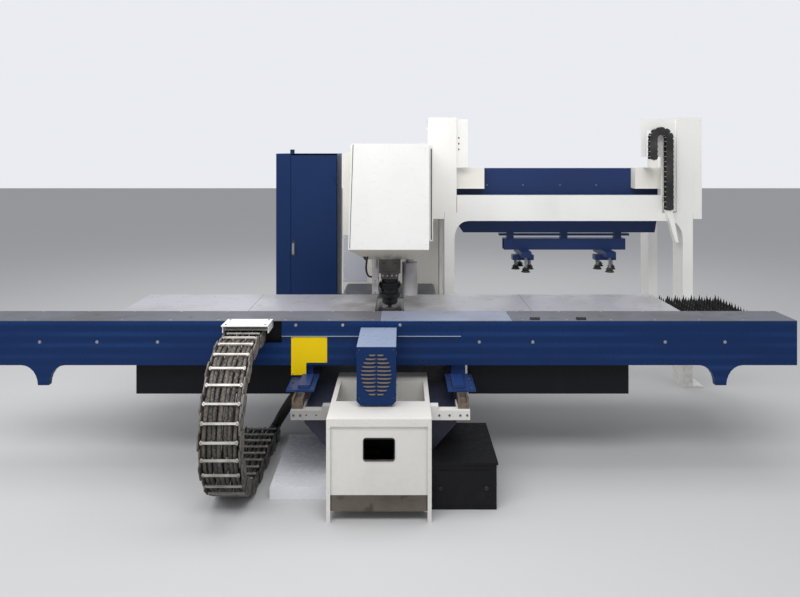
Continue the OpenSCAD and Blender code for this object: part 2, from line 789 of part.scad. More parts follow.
// Two beams under the guide, each with its rail, foot plate and posts for the tables
module y_beams() color("#27408a")
  for (s = [-1, 1]) {
    x = s * rail_x;
    block([x - ybeam_w / 2, x + ybeam_w / 2], [frame_y + 2, ybeam_back_y], [ybeam_z, frame_z()]);
    block([x - rail_w / 2, x + rail_w / 2], [foot_y, ybeam_back_y], [ybeam_z - rail_h, ybeam_z]);
    block([x - foot_w / 2, x + foot_w / 2], [foot_y, frame_y + 30], [ybeam_z, ybeam_z + 13]);
    block([x - s * 20 - 36, x - s * 20 + 36], [foot_y + 15, cover_y - 10], [ybeam_z + 13, ybeam_z + 36]);
    for (y = rib_ys)
      block([x - 25, x + 25], [y - 25, y + 25], [frame_z(), table_z - table_t - apron_h]);
  }

// Points of one side of a lobe, from its root in to its foot
function lobe_side(xc, s, t, as) = let(w = lobe_root_w / 2 - t, d = (lobe_root_w - lobe_foot_w) / 2)
  [for (a = as) [xc + s * (w - d * sin(a)), cover_bottom_z + t - lobe_h * (1 - cos(a))]];

// Outline of the guide's cover in X and Z, set in by t
function cover_outline(t) = concat(
  [[-guide_half_l + t, cover_top_z - t], [-guide_half_l + t, cover_bottom_z + t]],
  lobe_side(-lobe_x, -1, t, [0 : 15 : 90]), lobe_side(-lobe_x, 1, t, [90 : -15 : 0]),
  lobe_side(lobe_x, -1, t, [0 : 15 : 90]), lobe_side(lobe_x, 1, t, [90 : -15 : 0]),
  [[guide_half_l - t, cover_bottom_z + t], [guide_half_l - t, cover_top_z - t]]);

module guide_cover() color("#1f3a86") {
  notch_x = chain_x - 143;
  difference() {
    along_y(cover_y, frame_y) polygon(cover_outline(0));
    along_y(cover_y + cover_wall, frame_y + cut) polygon(cover_outline(cover_wall));
    block([notch_x, notch_x + notch_w], [cover_y - cut, frame_y + cut], [notch_z, cover_top_z + cut]);
  }
  difference() {
    block([panel_left_x, panel_right_x], [cover_y - panel_t, cover_y], [panel_z, cover_top_z - 12]);
    block([motor_x - motor_w / 2 - 0.5, motor_x + motor_w / 2 + 0.5], [cover_y - panel_t - cut, cover_y],
          [panel_z - cut, motor_z + motor_h + 0.5]);
  }
}

// Outer top plates with folded back edges and two small latches
module top_plates() color("#8d8f8e") {
  for (xs = [[-guide_half_l, top_joint_left_x - 2], [top_joint_right_x + 2, guide_half_l]]) {
    block(xs, [cover_y, top_back_y], [cover_top_z, top_z]);
    block(xs, [top_back_y - 3, top_back_y], [top_z - 18, cover_top_z]);
  }
  for (x = [top_joint_right_x + 154, top_joint_right_x + 451])
    intersection() {
      rod_x(cover_y + 36, top_z, x - 30, x + 30, 14);
      block([x - 31, x + 31], [cover_y, cover_y + 80], [cover_top_z, top_z + 20]);
    }
}

module top_plate_middle() color("#a3aab4") {
  block([top_joint_left_x, top_joint_right_x], [cover_y, top_back_y], [cover_top_z, top_z + 0.5]);
  block([top_joint_left_x, top_joint_right_x], [top_back_y - 3, top_back_y], [top_z - 18, cover_top_z]);
}

module cover_screws() color("#d8dade") {
  for (k = [-0.825, -0.687, -0.541, 0.234, 0.363, 0.682, 0.826])
    rod_y(k * guide_half_l, cover_bottom_z + 148, cover_y - 5, cover_y, 9);
  for (x = [-550, -250, 114]) rod_y(x, cover_top_z - 24, cover_y - panel_t - 4, cover_y - panel_t, 8);
}

// Bare yellow plate of an L shape, on the cover left of the motor cover
module notice_plate() color("#f2d51a")
  along_y(cover_y - 3, cover_y)
    polygon([[-580, 614], [-484, 614], [-484, 693], [-351, 693], [-351, panel_z - 3], [-580, panel_z - 3]]);

// Outline of the motor cover in X and Z, set in by t, with chamfered lower corners
function motor_outline(t) = let(w = motor_w / 2 - t, c = 22, z = motor_z + t)
  [[motor_x - w + c, z], [motor_x + w - c, z], [motor_x + w, z + c], [motor_x + w, motor_z + motor_h - t],
   [motor_x - w, motor_z + motor_h - t], [motor_x - w, z + c]];

// Half width of the oval vent at a height above its middle
function vent_half(dz) = vent_a * sqrt(max(0, 1 - pow(dz / vent_b, 2)));

module motor_cover() color("#223c80") {
  slot_pitch = 2 * vent_b / (vent_n + 1);
  bridge = 8;
  difference() {
    along_y(motor_y, cover_y) polygon(motor_outline(0));
    along_y(motor_y + motor_wall, cover_y + cut) polygon(motor_outline(motor_wall));
    for (i = [0 : vent_n - 1], s = [0, 1]) {
      dz = (i - (vent_n - 1) / 2) * slot_pitch;
      w = vent_half(abs(dz) + 6) - bridge / 2;
      translate([motor_x + (s > 0 ? bridge / 2 : -bridge / 2 - w), motor_y - cut, vent_z + dz - 6])
        cube([w, motor_wall + 2 * cut, 12]);
    }
  }
}

module drive_motor() color("#3b3e42")
  difference() {
    union() {
      rod_y(motor_x, vent_z, fan_y + 30, cover_y, 82);
      block([motor_x - 90, motor_x + 90], [cover_y - 14, cover_y], [vent_z - 90, vent_z + 90]);
    }
    rod_y(motor_x, vent_z, fan_y + 29, fan_y + 90, fan_shaft_r + fit_gap);
  }

module cooling_fan() color("#1b1c1e") {
  rod_y(motor_x, vent_z, fan_y, fan_y + 22, 26);
  rod_y(motor_x, vent_z, fan_y + 20, fan_y + 80, fan_shaft_r);
  for (i = [0 : 6]) translate([motor_x, fan_y + 11, vent_z]) rotate([0, i * 360 / 7, 0])
    translate([fan_r / 2 + 10, 0, 0]) rotate([35, 0, 0]) cube([fan_r - 20, 3, 30], center = true);
}

module chain_top_bracket() color("#f0f0ee") {
  left = chain_x - chain_w / 2 - 8;
  right = chain_x + chain_w / 2 + 40;
  run_top_z = chain_h / 2 + 5 + 2 * chain_r + chain_h / 2;
  block([left, right], [cover_y - 148, cover_y + 16], [top_z + 1, top_z + 7]);
  for (x = [left, right - 6]) {
    block([x, x + 6], [cover_y - 120, cover_y], [run_top_z, top_z + 1]);
    block([x, x + 6], [cover_y, frame_y], [run_top_z, cover_top_z]);
  }
  block([left, right], [cover_y - 60, frame_y], [run_top_z, run_top_z + 6]);
}

// One table: sheet with folded edges, ribs and the brackets that join it to the guide's frame
module table_frame(x0, x1, back_y, arms) {
  z0 = table_z - table_t - apron_h;
  z1 = table_z - table_t;
  block([x0, x1], [top_back_y + 3, top_back_y + 6], [z0, z1]);
  block([x0, x1], [back_y - 3, back_y], [z0, z1]);
  block([x0, x0 + 3], [top_back_y + 3, back_y], [z0, z1]);
  block([x1 - 3, x1], [top_back_y + 3, back_y], [z0, z1]);
  for (x = arms) block([x - 15, x + 15], [frame_back_y, back_y - 3], [z0 - 20, z1]);
}

module table_left() color("#c9c9c6") {
  x1 = slot_left_x;
  difference() {
    block([table_left_x, x1], [top_back_y + 3, table_back_y], [table_z - table_t, table_z]);
    rod_z(-1500, table_back_y, table_z - 10, table_z + cut, 14);
  }
  table_frame(table_left_x, x1, table_back_y, [table_left_x + 60, -1400, -900, -380, x1 - 18]);
  for (y = rib_ys)
    block([table_left_x, x1], [y - 12, y + 12], [table_z - table_t - apron_h, table_z - table_t]);
}

module table_right() color("#c9c9c6") {
  x0 = slot_right_x;
  difference() {
    block([x0, table_right_x], [top_back_y + 3, table_back_y], [table_z - table_t, table_z]);
    rod_z(1380, table_back_y, table_z - 10, table_z + cut, 30);
  }
  difference() {
    union() {
      table_frame(x0, table_right_x, table_back_y, [x0 + 18, 390, 900, 1400, table_right_x - 60]);
      for (y = rib_ys)
        block([x0, table_right_x], [y - 12, y + 12], [table_z - table_t - apron_h, table_z - table_t]);
    }
    rod_z(1380, table_back_y, table_z - 100, table_z + cut, 30);
  }
}

module brush_table() color("#9a9b9a") {
  x1 = brush_x + brush_w;
  block([brush_x, x1], [top_back_y + 3, brush_back_y], [brush_base_z - 3, brush_base_z]);
  block([brush_x, x1], [top_back_y + 3, top_back_y + 6], [brush_base_z - 40, brush_base_z - 3]);
  block([brush_x, x1], [brush_back_y - 3, brush_back_y], [brush_base_z - 40, brush_base_z - 3]);
  for (x = [brush_x + 30, brush_x + brush_w - 95])
    block([x - 15, x + 15], [frame_back_y, brush_back_y - 3], [brush_base_z - 58, brush_base_z - 3]);
}

// Brush strips: a foot along Y with a wall of bristles that ends in tufts
module brush_strips() color("#161616") {
  y0 = top_back_y + 14;
  y1 = brush_back_y - 10;
  tufts = 18;
  step = (y1 - y0) / tufts;
  tip_z = table_z + bristle_rise;
  for (x = [brush_x + 14 : brush_pitch : brush_x + brush_w - 14]) {
    block([x - 9, x + 9], [y0, y1], [brush_base_z, brush_base_z + 14]);
    along_x(x - 5, x + 5) polygon(concat([[y1, brush_base_z + 14], [y0, brush_base_z + 14]],
      [for (i = [0 : tufts - 1], k = [0, 1, 2])
        [y0 + (i + [0.08, 0.5, 0.92][k]) * step, k == 1 ? tip_z : tip_z - 26]]));
  }
}

// Rail that runs along the guide with its two shoes
module magazine_rail() color("#70757b") {
  half = magazine_l / 2;
  y0 = magazine_back_y - magazine_d;
  block([-half, half], [y0, magazine_back_y], [magazine_z, magazine_z + magazine_h]);
  for (x = [-half + 110, 0, half - 110], s = [-1, 1]) {
    edge = shoe_rail_y + s * (shoe_rail_w / 2 + rail_gap);
    block([x - 90, x + 90], s > 0 ? [edge, edge + 16] : [edge - 16, edge],
          [frame_top_z + 2, magazine_z]);
  }
}

// Clamp bodies: lower jaw, back wall and the two ears that hold the jaw's pin
module clamp_bodies() color("#4a4d51")
  for (x = clamp_xs) {
    half = clamp_w / 2;
    block([x - half, x + half], [magazine_back_y, magazine_back_y + clamp_reach],
          [table_z + 2, table_z + 10]);
    block([x - half, x + half], [magazine_back_y, magazine_back_y + 22], [table_z + 10, table_z + 52]);
    for (s = [-1, 1]) difference() {
      block(s > 0 ? [x + half - 10, x + half] : [x - half, x - half + 10],
            [magazine_back_y + 22, jaw_pin_y + 12], [table_z + 10, table_z + 50]);
      rod_x(jaw_pin_y, jaw_pin_z, x - half - cut, x + half + cut, jaw_pin_r - 0.5);
    }
    rod_x(jaw_pin_y, jaw_pin_z, x - half, x + half, jaw_pin_r);
  }

// Upper jaw that tips about its pin
module clamp_jaw(x) color("#83878c") {
  half = clamp_w / 2 - 11;
  tip_y = magazine_back_y + clamp_reach;
  low = table_z + 10 + jaw_gap;
  difference() {
    along_x(x - half, x + half) polygon([[jaw_pin_y - 14, jaw_pin_z - 8], [jaw_pin_y, low + 6],
      [tip_y - 24, low], [tip_y, low], [tip_y, low + 10], [jaw_pin_y + 16, jaw_pin_z + 13],
      [jaw_pin_y - 14, jaw_pin_z + 13]]);
    rod_x(jaw_pin_y, jaw_pin_z, x - half - cut, x + half + cut, jaw_pin_r + fit_gap);
  }
}

// Tool holders between the clamps, each a fork round a stored tool
module cassettes() color("#5c6166")
  for (x = cassette_xs) difference() {
    block([x - 44, x + 44], [magazine_back_y, magazine_back_y + 62], [table_z + 6, table_z + 34]);
    rod_z(x, magazine_back_y + 44, table_z, table_z + 40, stored_r + 0.4);
  }

module stored_tools() color("#b4b6b8")
  for (x = cassette_xs) {
    y = magazine_back_y + 44;
    rod_z(x, y, table_z + 3, table_z + 44, stored_r);
    rod_z(x, y, table_z + 44, table_z + 52, 14);
  }

// Flat path of the chain in Y and Z as a band between two distances from its middle line
module chain_band(r0, r1) {
  zc = chain_h / 2 + 5 + chain_r;
  end_y = frame_y - 6;
  difference() {
    union() {
      translate([chain_bend_y, zc]) intersection() {
        circle(r = chain_r + r1, $fn = 96);
        translate([-chain_r - r1 - cut, -chain_r - r1 - cut])
          square([chain_r + r1 + cut, 2 * (chain_r + r1 + cut)]);
      }
      translate([chain_bend_y, zc - chain_r - r1]) square([chain_end_y - chain_bend_y, r1 - r0]);
      translate([chain_bend_y, zc + chain_r + r0]) square([end_y - chain_bend_y, r1 - r0]);
    }
    translate([chain_bend_y, zc]) circle(r = chain_r + r0, $fn = 96);
    translate([chain_bend_y, zc - chain_r - r0]) square([chain_r, 2 * (chain_r + r0)]);
  }
}

// Place of a bar at a distance along the chain: turned about X, at r from the middle line
module at_chain(s) {
  low_l = chain_end_y - chain_bend_y;
  arc_l = 3.14159265 * chain_r;
  zc = chain_h / 2 + 5 + chain_r;
  if (s < low_l) translate([0, chain_end_y - s, zc]) translate([0, 0, -chain_r]) children();
  else if (s < low_l + arc_l) translate([0, chain_bend_y, zc])
    rotate([-(s - low_l) / chain_r * 57.29578, 0, 0]) translate([0, 0, -chain_r]) children();
  else translate([0, chain_bend_y + s - low_l - arc_l, zc])
    rotate([180, 0, 0]) translate([0, 0, -chain_r]) children();
}

module energy_chain() color("#77736c") {
  half = chain_w / 2;
  total = chain_end_y - chain_bend_y + 3.14159265 * chain_r + frame_y - 6 - chain_bend_y;
  for (s = [-1, 1])
    along_x(chain_x + s * (half - 8) - 8, chain_x + s * (half - 8) + 8) chain_band(-chain_h / 2, chain_h / 2);
  for (s = [chain_pitch / 2 : chain_pitch : total - 20])
    at_chain(s) {
      translate([chain_x, 0, -chain_h / 2 + 5]) cube([chain_w - 20, 22, 10], center = true);
      translate([chain_x, 0, chain_h / 2 - 5]) cube([chain_w - 20, 22, 10], center = true);
    }
  for (i = [-2 : 2])
    along_x(chain_x + i * 42 - 16, chain_x + i * 42 + 16) chain_band(10 - chain_h / 2, 12);
}

// Direction along the hose route at point i
function route_dir(p, i) = let(a = p[max(0, i - 1)], b = p[min(len(p) - 1, i + 1)], d = b - a)
  d / norm(d);
// Ring of points about point i of a route, square to the route
function route_ring(p, i, r, n) =
  let(d = route_dir(p, i), u = cross(d, [0, 1, 0.2]), v = u / norm(u), w = cross(d, v))
  [for (k = [0 : n - 1]) p[i] + r * (cos(k * 360 / n) * v + sin(k * 360 / n) * w)];

// Tube along a route, one ring at each point
module route_tube(p, r, n) {
  rings = len(p);
  polyhedron(points = [for (i = [0 : rings - 1], q = route_ring(p, i, r, n)) q],
    faces = concat([[for (k = [0 : n - 1]) k]], [[for (k = [n - 1 : -1 : 0]) (rings - 1) * n + k]],
      [for (i = [0 : rings - 2], k = [0 : n - 1])
        [i * n + k, (i + 1) * n + k, (i + 1) * n + (k + 1) % n, i * n + (k + 1) % n]]));
}

module hose_bundle() color("#17181a") {
  route_tube(hose_route, hose_r, 10);
  route_tube(thin_route, thin_r, 8);
}

// Cabinet body with its plinth, the fixed front strip beside the door and the gland on top
module cabinet_body() color("#1b3274") {
  back_y = cabinet_y + cabinet_d;
  strip_right_x = hinge_x - door_w - 4;
  difference() {
    union() {
      block([cabinet_left_x, cabinet_right_x], [cabinet_y, back_y], [plinth_h, cabinet_h]);
      block([cabinet_left_x + 10, cabinet_right_x - 10], [cabinet_y + 15, back_y - 15], [0, plinth_h]);
      block([cabinet_left_x, strip_right_x], [cabinet_y - door_t - 2, cabinet_y], [plinth_h, cabinet_h]);
    }
    block([cabinet_left_x + cabinet_wall, cabinet_right_x - cabinet_wall],
          [cabinet_y - cut, back_y - cabinet_wall], [plinth_h + cabinet_wall, cabinet_h - cabinet_wall]);
    block([cabinet_left_x + cabinet_wall, strip_right_x - cabinet_wall],
          [cabinet_y - door_t - 2 + cabinet_wall, cabinet_y],
          [plinth_h + cabinet_wall, cabinet_h - cabinet_wall]);
  }
  for (z = [door_z + 150, door_z + door_h - 250]) {
    block([cabinet_right_x - 3, cabinet_right_x], [hinge_y - 7, cabinet_y], [z - 24, z - 4]);
    block([hinge_x - 7, cabinet_right_x], [hinge_y - 7, hinge_y + 7], [z - 24, z - 4]);
    rod_z(hinge_x, hinge_y, z - 24, z + 56, hinge_r);
  }
  rod_z(cabinet_left_x + 120, cabinet_y + 200, cabinet_h, cabinet_h + 40, 22);
  block([cabinet_right_x, column_left_x], [cabinet_y + 100, cabinet_y + 240], [bed_h + 20, bed_h + 100]);
}

module cabinet_door() color("#1b3274") {
  x0 = hinge_x - door_w;
  x1 = hinge_x + 3;
  y0 = cabinet_y - door_t - 2;
  difference() {
    block([x0, x1], [y0, cabinet_y - 2], [door_z, door_z + door_h]);
    block([x0 + 3, x1 - 3], [y0 + 3, cabinet_y - 2 + cut], [door_z + 3, door_z + door_h - 3]);
    rod_y(handle_x, handle_z, y0 - cut, y0 + 4, 8 + fit_gap);
  }
  for (z = [door_z + 150, door_z + door_h - 250]) difference() {
    union() {
      rod_z(hinge_x, hinge_y, z, z + 60, hinge_r + 5);
      block([hinge_x - 30, x1], [hinge_y + 6, y0 + 2], [z, z + 60]);
    }
    rod_z(hinge_x, hinge_y, z - cut, z + 61, hinge_r + fit_gap);
  }
}

module door_handle() color("#b9bbbd") {
  y0 = cabinet_y - door_t - 2;
  rod_y(handle_x, handle_z, y0 - 14, y0 + 12, 8);
  block([handle_x - 11, handle_x + 11], [y0 - 22, y0 - 12], [handle_z - 16, handle_z + 91]);
}

// Mounting plate in the cabinet with rows of drive modules
module drive_modules() color("#8e9296") {
  back_y = cabinet_y + cabinet_d - cabinet_wall - 40;
  block([cabinet_left_x + 40, cabinet_right_x - 40], [back_y, back_y + 3], [180, cabinet_h - 120]);
  for (x = [cabinet_left_x + 80, cabinet_right_x - 110], z = [220, cabinet_h - 275])
    block([x, x + 30], [back_y + 3, back_y + 40], [z, z + 30]);
  for (z = [300, 820, 1340], i = [0 : 3])
    block([cabinet_left_x + 60 + i * 118, cabinet_left_x + 160 + i * 118],
          [back_y - 180, back_y], [z, z + 380]);
}

// One loader leg with its foot plate and anchor hole
module leg(x, y, s) difference() {
  union() {
    block([x - leg_w / 2, x + leg_w / 2], [y, y + leg_d], [0, leg_h - 70]);
    block([x - leg_w / 2 - (s < 0 ? 90 : 0), x + leg_w / 2 + (s > 0 ? 90 : 0)], [y, y + leg_d], [0, 15]);
  }
  rod_z(x + s * (leg_w / 2 + 50), y + leg_d / 2, -cut, 16, 9);
}

// Curved gusset between a front leg and the beam
function gusset(x, s) = concat([[x - s * 20, portal_z], [x - s * 20, portal_z - 166], [x, portal_z - 166]],
  [for (a = [0 : 15 : 90]) [x + s * 112 * (1 - cos(a)), portal_z - 150 + 150 * sin(a)]]);

module loader_legs_front() color("#ddd6c2") {
  for (s = [-1, 1]) {
    x = s < 0 ? leg_left_x : leg_right_x;
    leg(x, leg_y, s);
    along_y(leg_y, leg_y + portal_d - 10) polygon(gusset(x - s * leg_w / 2, -s));
  }
}

// Rear legs with the side rails that tie them to the front legs
module loader_legs_rear() color("#d5cdb8")
  for (s = [-1, 1]) {
    x = s < 0 ? leg_left_x : leg_right_x;
    leg(x, rear_leg_y, s);
    block([x - leg_w / 2, x + leg_w / 2], [leg_y, rear_leg_y + leg_d], [leg_h - 70, leg_h]);
  }

module loader_beam() color("#e5dfcd") {
  x0 = leg_left_x + leg_w / 2;
  x1 = leg_right_x - leg_w / 2;
  difference() {
    union() {
      block([x0 + 22, x1 - 180], [leg_y, leg_y + portal_d], [portal_z, portal_z + portal_h]);
      block([x0, x1], [leg_y, leg_y + portal_d], [portal_z, leg_h]);
    }
    block([x0 + 26, x1 - 184], [leg_y + 4, leg_y + portal_d + cut], [portal_z + 4, portal_z + portal_h - 4]);
  }
}

// Tall boxes over the legs, open towards the lift, each with its outer skirt
module loader_towers() color("#e3dcc6")
  for (s = [-1, 1]) {
    xs = s < 0 ? [tower_left_x, tower_left_x + tower_w] : [tower_right_x, tower_right_x + tower_w - 28];
    difference() {
      block(xs, [leg_y, leg_y + tower_d], [leg_h, tower_top_z]);
      block([xs[0] + 5, xs[1] - 5], [leg_y + 5, leg_y + tower_d - 5], [leg_h + 5, tower_top_z - 5]);
      block(s < 0 ? [xs[1] - 10, xs[1] + cut] : [xs[0] - cut, xs[0] + 10],
            [lift_y - 24, lift_y + lift_d + 14], [leg_h + 10, tower_top_z - 12]);
    }
    bar_x = s < 0 ? xs[1] - 52 : xs[0] + 32;
    block([bar_x, bar_x + 20], [lift_y + 40, lift_y + 60], [leg_h + 5, tower_top_z - 5]);
    block(s < 0 ? [xs[0], leg_left_x - leg_w / 2 - 2] : [leg_right_x + leg_w / 2 + 2, xs[1]],
          [leg_y, leg_y + tower_d], [leg_h - 54, leg_h]);
  }

// Upright plates beside the towers, with three small holes in the left one
module tower_plates() color("#e3dcc6") {
  y0 = leg_y + 20;
  difference() {
    block([tower_left_x + tower_w, tower_left_x + tower_w + plate_w], [y0, y0 + 8],
          [tower_plate_z, tower_top_z - 12]);
    for (i = [0 : 2]) rod_y(tower_left_x + tower_w + 12, tower_top_z - 264 + i * 56, y0 - cut, y0 + 10, 6);
  }
  difference() {
    block([drag_free_x - drag_h / 2 - 40, tower_right_x], [y0, y0 + 8],
          [tower_plate_z + 90, tower_top_z - 12]);
    block([drag_free_x - 30, drag_free_x + 30], [y0 - cut, y0 + 9], [tower_plate_z, lift_z + lift_h + 334]);
  }
  block([leg_right_x - leg_w / 2 - 180, tower_right_x], [y0, y0 + 8], [leg_h + 8, tower_plate_z + 90]);
  block([tower_right_x - 60, tower_right_x], [y0 + 8, leg_y + 60], [leg_h + 190, leg_h + 220]);
  block([drag_fixed_x - 28, drag_fixed_x + 28], [drag_y, y0], [drag_low_z + 6, drag_low_z + 66]);
  along_y(drag_y - drag_w + 12, leg_y)
    polygon([[drag_fixed_x - 26, drag_low_z], [drag_fixed_x + 26, drag_low_z],
             [drag_fixed_x + 78, portal_z - 177], [drag_fixed_x + 52, portal_z - 177]]);
}

// Lift carriage: cross beam, end boxes, sloping apron and the bracket of the small chain
module lift_beam() color("#1f3a80") {
  back = lift_y + lift_d;
  difference() {
    block([lift_left_x, lift_right_x], [lift_y, back], [lift_z, lift_z + lift_h]);
    block([lift_left_x - cut, lift_right_x + cut], [lift_y + 5, back - 5], [lift_z + 5, lift_z + lift_h - 5]);
  }
  along_y(lift_y + 20, lift_y + 30)
    polygon([[lift_left_x + 76, apron_z], [lift_right_x - 20, apron_z], [lift_right_x, apron_z + 110],
             [lift_right_x, lift_z], [lift_left_x, lift_z], [lift_left_x, apron_z + 110]]);
  for (xs = [[lift_left_x, lift_left_x + 250], [lift_right_x - 240, lift_right_x]])
    block(xs, [lift_y - 110, lift_y], [lift_z + 72, lift_z + lift_h + 8]);
  for (s = [-1, 1]) difference() {
    bar_x = s < 0 ? tower_left_x + tower_w - 52 : tower_right_x + 32;
    block(s < 0 ? [bar_x - 14, lift_left_x] : [lift_right_x, bar_x + 34],
          [lift_y, back - 10], [lift_z + 80, lift_z + 180]);
    block([bar_x - rail_gap, bar_x + 20 + rail_gap], [lift_y + 40 - rail_gap, lift_y + 60 + rail_gap],
          [lift_z + 79, lift_z + 181]);
  }
  block([drag_free_x - 25, drag_free_x + 25], [drag_y - drag_w + 2, lift_y - 104],
        [lift_z + lift_h + 8, lift_z + lift_h + 14]);
  block([drag_free_x - 36, drag_free_x + 36], [drag_y - drag_w + 2, drag_y],
        [lift_z + lift_h + 14, drag_bracket_z]);
}

// Suction frame hung below the lift: tube, hangers, cross members and dark arms
module suction_frame() color("#22366f") {
  x0 = tube_x - tube_w / 2;
  x1 = tube_x + tube_w / 2;
  y0 = lift_y + 30;
  for (x = [x0 + 60, tube_x, x1 - 60])
    block([x - 30, x + 30], [y0, y0 + 60], [tube_z + tube_s, apron_z + 60]);
  block([x0 - 40, x1 + 40], [y0, y0 + 60], [tube_z + tube_s + 24, tube_z + tube_s + 44]);
  difference() {
    block([x0, x1], [y0 - 20, y0 - 20 + tube_s], [tube_z, tube_z + tube_s]);
    block([x0 - cut, x1 + cut], [y0 - 15, y0 - 25 + tube_s], [tube_z + 5, tube_z + tube_s - 5]);
  }
  for (x = [x0 + 175, x1 - 175]) {
    block([x - 45, x + 45], [y0 - 160, y0 + 220], [tube_z - 50, tube_z]);
    block([x - 95, x + 95], [y0 - 10, y0 + 70], [tube_z - 95, tube_z - 50]);
  }
}

module suction_cups() color("#1a1b1d") {
  y0 = lift_y + 30;
  for (x = [tube_x - tube_w / 2 + 175, tube_x + tube_w / 2 - 175],
       p = [[0, -125], [0, 185], [-62, 30], [62, 30]]) {
    top = p[0] == 0 ? tube_z - 50 : tube_z - 95;
    rod_z(x + p[0], y0 + p[1], cup_z + 34, top, 12);
    translate([x + p[0], y0 + p[1], cup_z]) rotate_extrude($fn = round_fn)
      polygon([[0, 8], [26, 8], [38, 0], [40, 3], [30, 16], [34, 24], [20, 34], [0, 34]]);
  }
}

// Small chain of the lift: two straight runs joined over a half turn, drawn in X and Z
module drag_chain() color("#2a2b2c") {
  inner = drag_r - drag_h / 2;
  outer = drag_r + drag_h / 2;
  cx = 0.5 * (drag_free_x + drag_fixed_x);
  along_y(drag_y - drag_w, drag_y) {
    difference() {
      translate([cx, drag_top_z]) intersection() {
        circle(r = outer, $fn = 72);
        translate([-outer - cut, 0]) square([2 * outer + 2 * cut, outer + cut]);
      }
      translate([cx, drag_top_z]) circle(r = max(4, inner), $fn = 48);
    }
    translate([drag_free_x - drag_h / 2, drag_bracket_z])
      square([drag_h - 4, drag_top_z - drag_bracket_z + 0.01]);
    translate([drag_fixed_x - drag_h / 2 + 4, drag_low_z])
      square([drag_h - 4, drag_top_z - drag_low_z + 0.01]);
  }
}

bed_body();
front_housing();
slug_tray();
floor_pan();
service_box();
front_arm_left();
front_arm_right();
outriggers();
bearing_blocks();
lower_arm();
throat_plate();
column();
upper_arm();
head_cover();
head_skirt();
ram_guide();
press_cylinder();
index_gearbox();
strip_cylinder();
ram();
punch_tool();
die_holder();
die();
guide_frame();
y_beams();
guide_cover();
top_plates();
top_plate_middle();
cover_screws();
notice_plate();
motor_cover();
drive_motor();
cooling_fan();
chain_top_bracket();
table_left();
table_right();
brush_table();
brush_strips();
magazine_rail();
clamp_bodies();
clamp_jaw(clamp_xs[0]);  // clamp_jaw_left
clamp_jaw(clamp_xs[1]);  // clamp_jaw_middle
clamp_jaw(clamp_xs[2]);  // clamp_jaw_right
cassettes();
stored_tools();
energy_chain();
hose_bundle();
cabinet_body();
cabinet_door();
door_handle();
drive_modules();
loader_legs_front();
loader_legs_rear();
loader_beam();
loader_towers();
tower_plates();
lift_beam();
suction_frame();
suction_cups();
drag_chain();
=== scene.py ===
"""CNC punching machine with its guide, tables, cabinet and sheet loader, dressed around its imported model."""

from math import pi

import bmesh
import bpy
import numpy as np
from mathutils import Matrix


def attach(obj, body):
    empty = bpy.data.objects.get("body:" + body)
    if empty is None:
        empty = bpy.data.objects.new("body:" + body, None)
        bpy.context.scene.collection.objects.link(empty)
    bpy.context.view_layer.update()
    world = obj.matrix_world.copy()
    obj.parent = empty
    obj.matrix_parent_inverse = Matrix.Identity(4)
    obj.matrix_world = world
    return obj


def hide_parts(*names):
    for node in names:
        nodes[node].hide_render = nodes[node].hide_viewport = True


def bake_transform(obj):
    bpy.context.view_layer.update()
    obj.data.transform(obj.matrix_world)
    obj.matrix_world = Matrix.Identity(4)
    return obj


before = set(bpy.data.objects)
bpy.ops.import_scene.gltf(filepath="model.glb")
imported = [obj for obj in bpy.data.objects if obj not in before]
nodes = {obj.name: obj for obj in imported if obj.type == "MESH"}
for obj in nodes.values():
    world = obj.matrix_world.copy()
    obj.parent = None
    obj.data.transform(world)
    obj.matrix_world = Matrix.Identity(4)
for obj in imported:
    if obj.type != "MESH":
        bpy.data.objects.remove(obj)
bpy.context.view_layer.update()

# Camera.
# It stands level in front of the guide, a little to the right of the bed, at the height of a
# raised hand. The lens is shifted down, because the horizon lies in the upper part of the frame.
photo_w, photo_h = 800, 597
horizon_row, vanishing_column = 150, 402
focal_px = 650
camera_place = (0.127, -4.875, 2.05)
camera_data = bpy.data.cameras.new("camera")
camera_data.sensor_width = 36
camera_data.lens = camera_data.sensor_width * focal_px / photo_w
camera_data.shift_x = (photo_w / 2 - vanishing_column) / photo_w
camera_data.shift_y = (horizon_row - photo_h / 2) / photo_w
camera = bpy.data.objects.new("camera", camera_data)
camera.location = camera_place
camera.rotation_euler = (pi / 2, 0, 0)
bpy.context.scene.collection.objects.link(camera)
bpy.context.scene.camera = camera


# Floor, backdrop and light.
# A pale studio floor under a plain white sky, and four large soft lamps: above the front, over the
# tables, on the left and behind, so that every side is lit.
def add(tree, kind, fields=None, **inputs):
    """One shader node. Fields are its own settings, and inputs are values or sockets to link.
    An input named i with a number is taken by its place, any other by its name."""
    node = tree.nodes.new("ShaderNode" + kind)
    for field, value in (fields or {}).items():
        setattr(node, field, value)
    for name, value in inputs.items():
        by_place = name[0] == "i" and name[1:].isdigit()
        socket = node.inputs[int(name[1:]) if by_place else name.replace("_", " ")]
        if isinstance(value, bpy.types.NodeSocket):
            tree.links.new(value, socket)
        else:
            socket.default_value = value
    return node


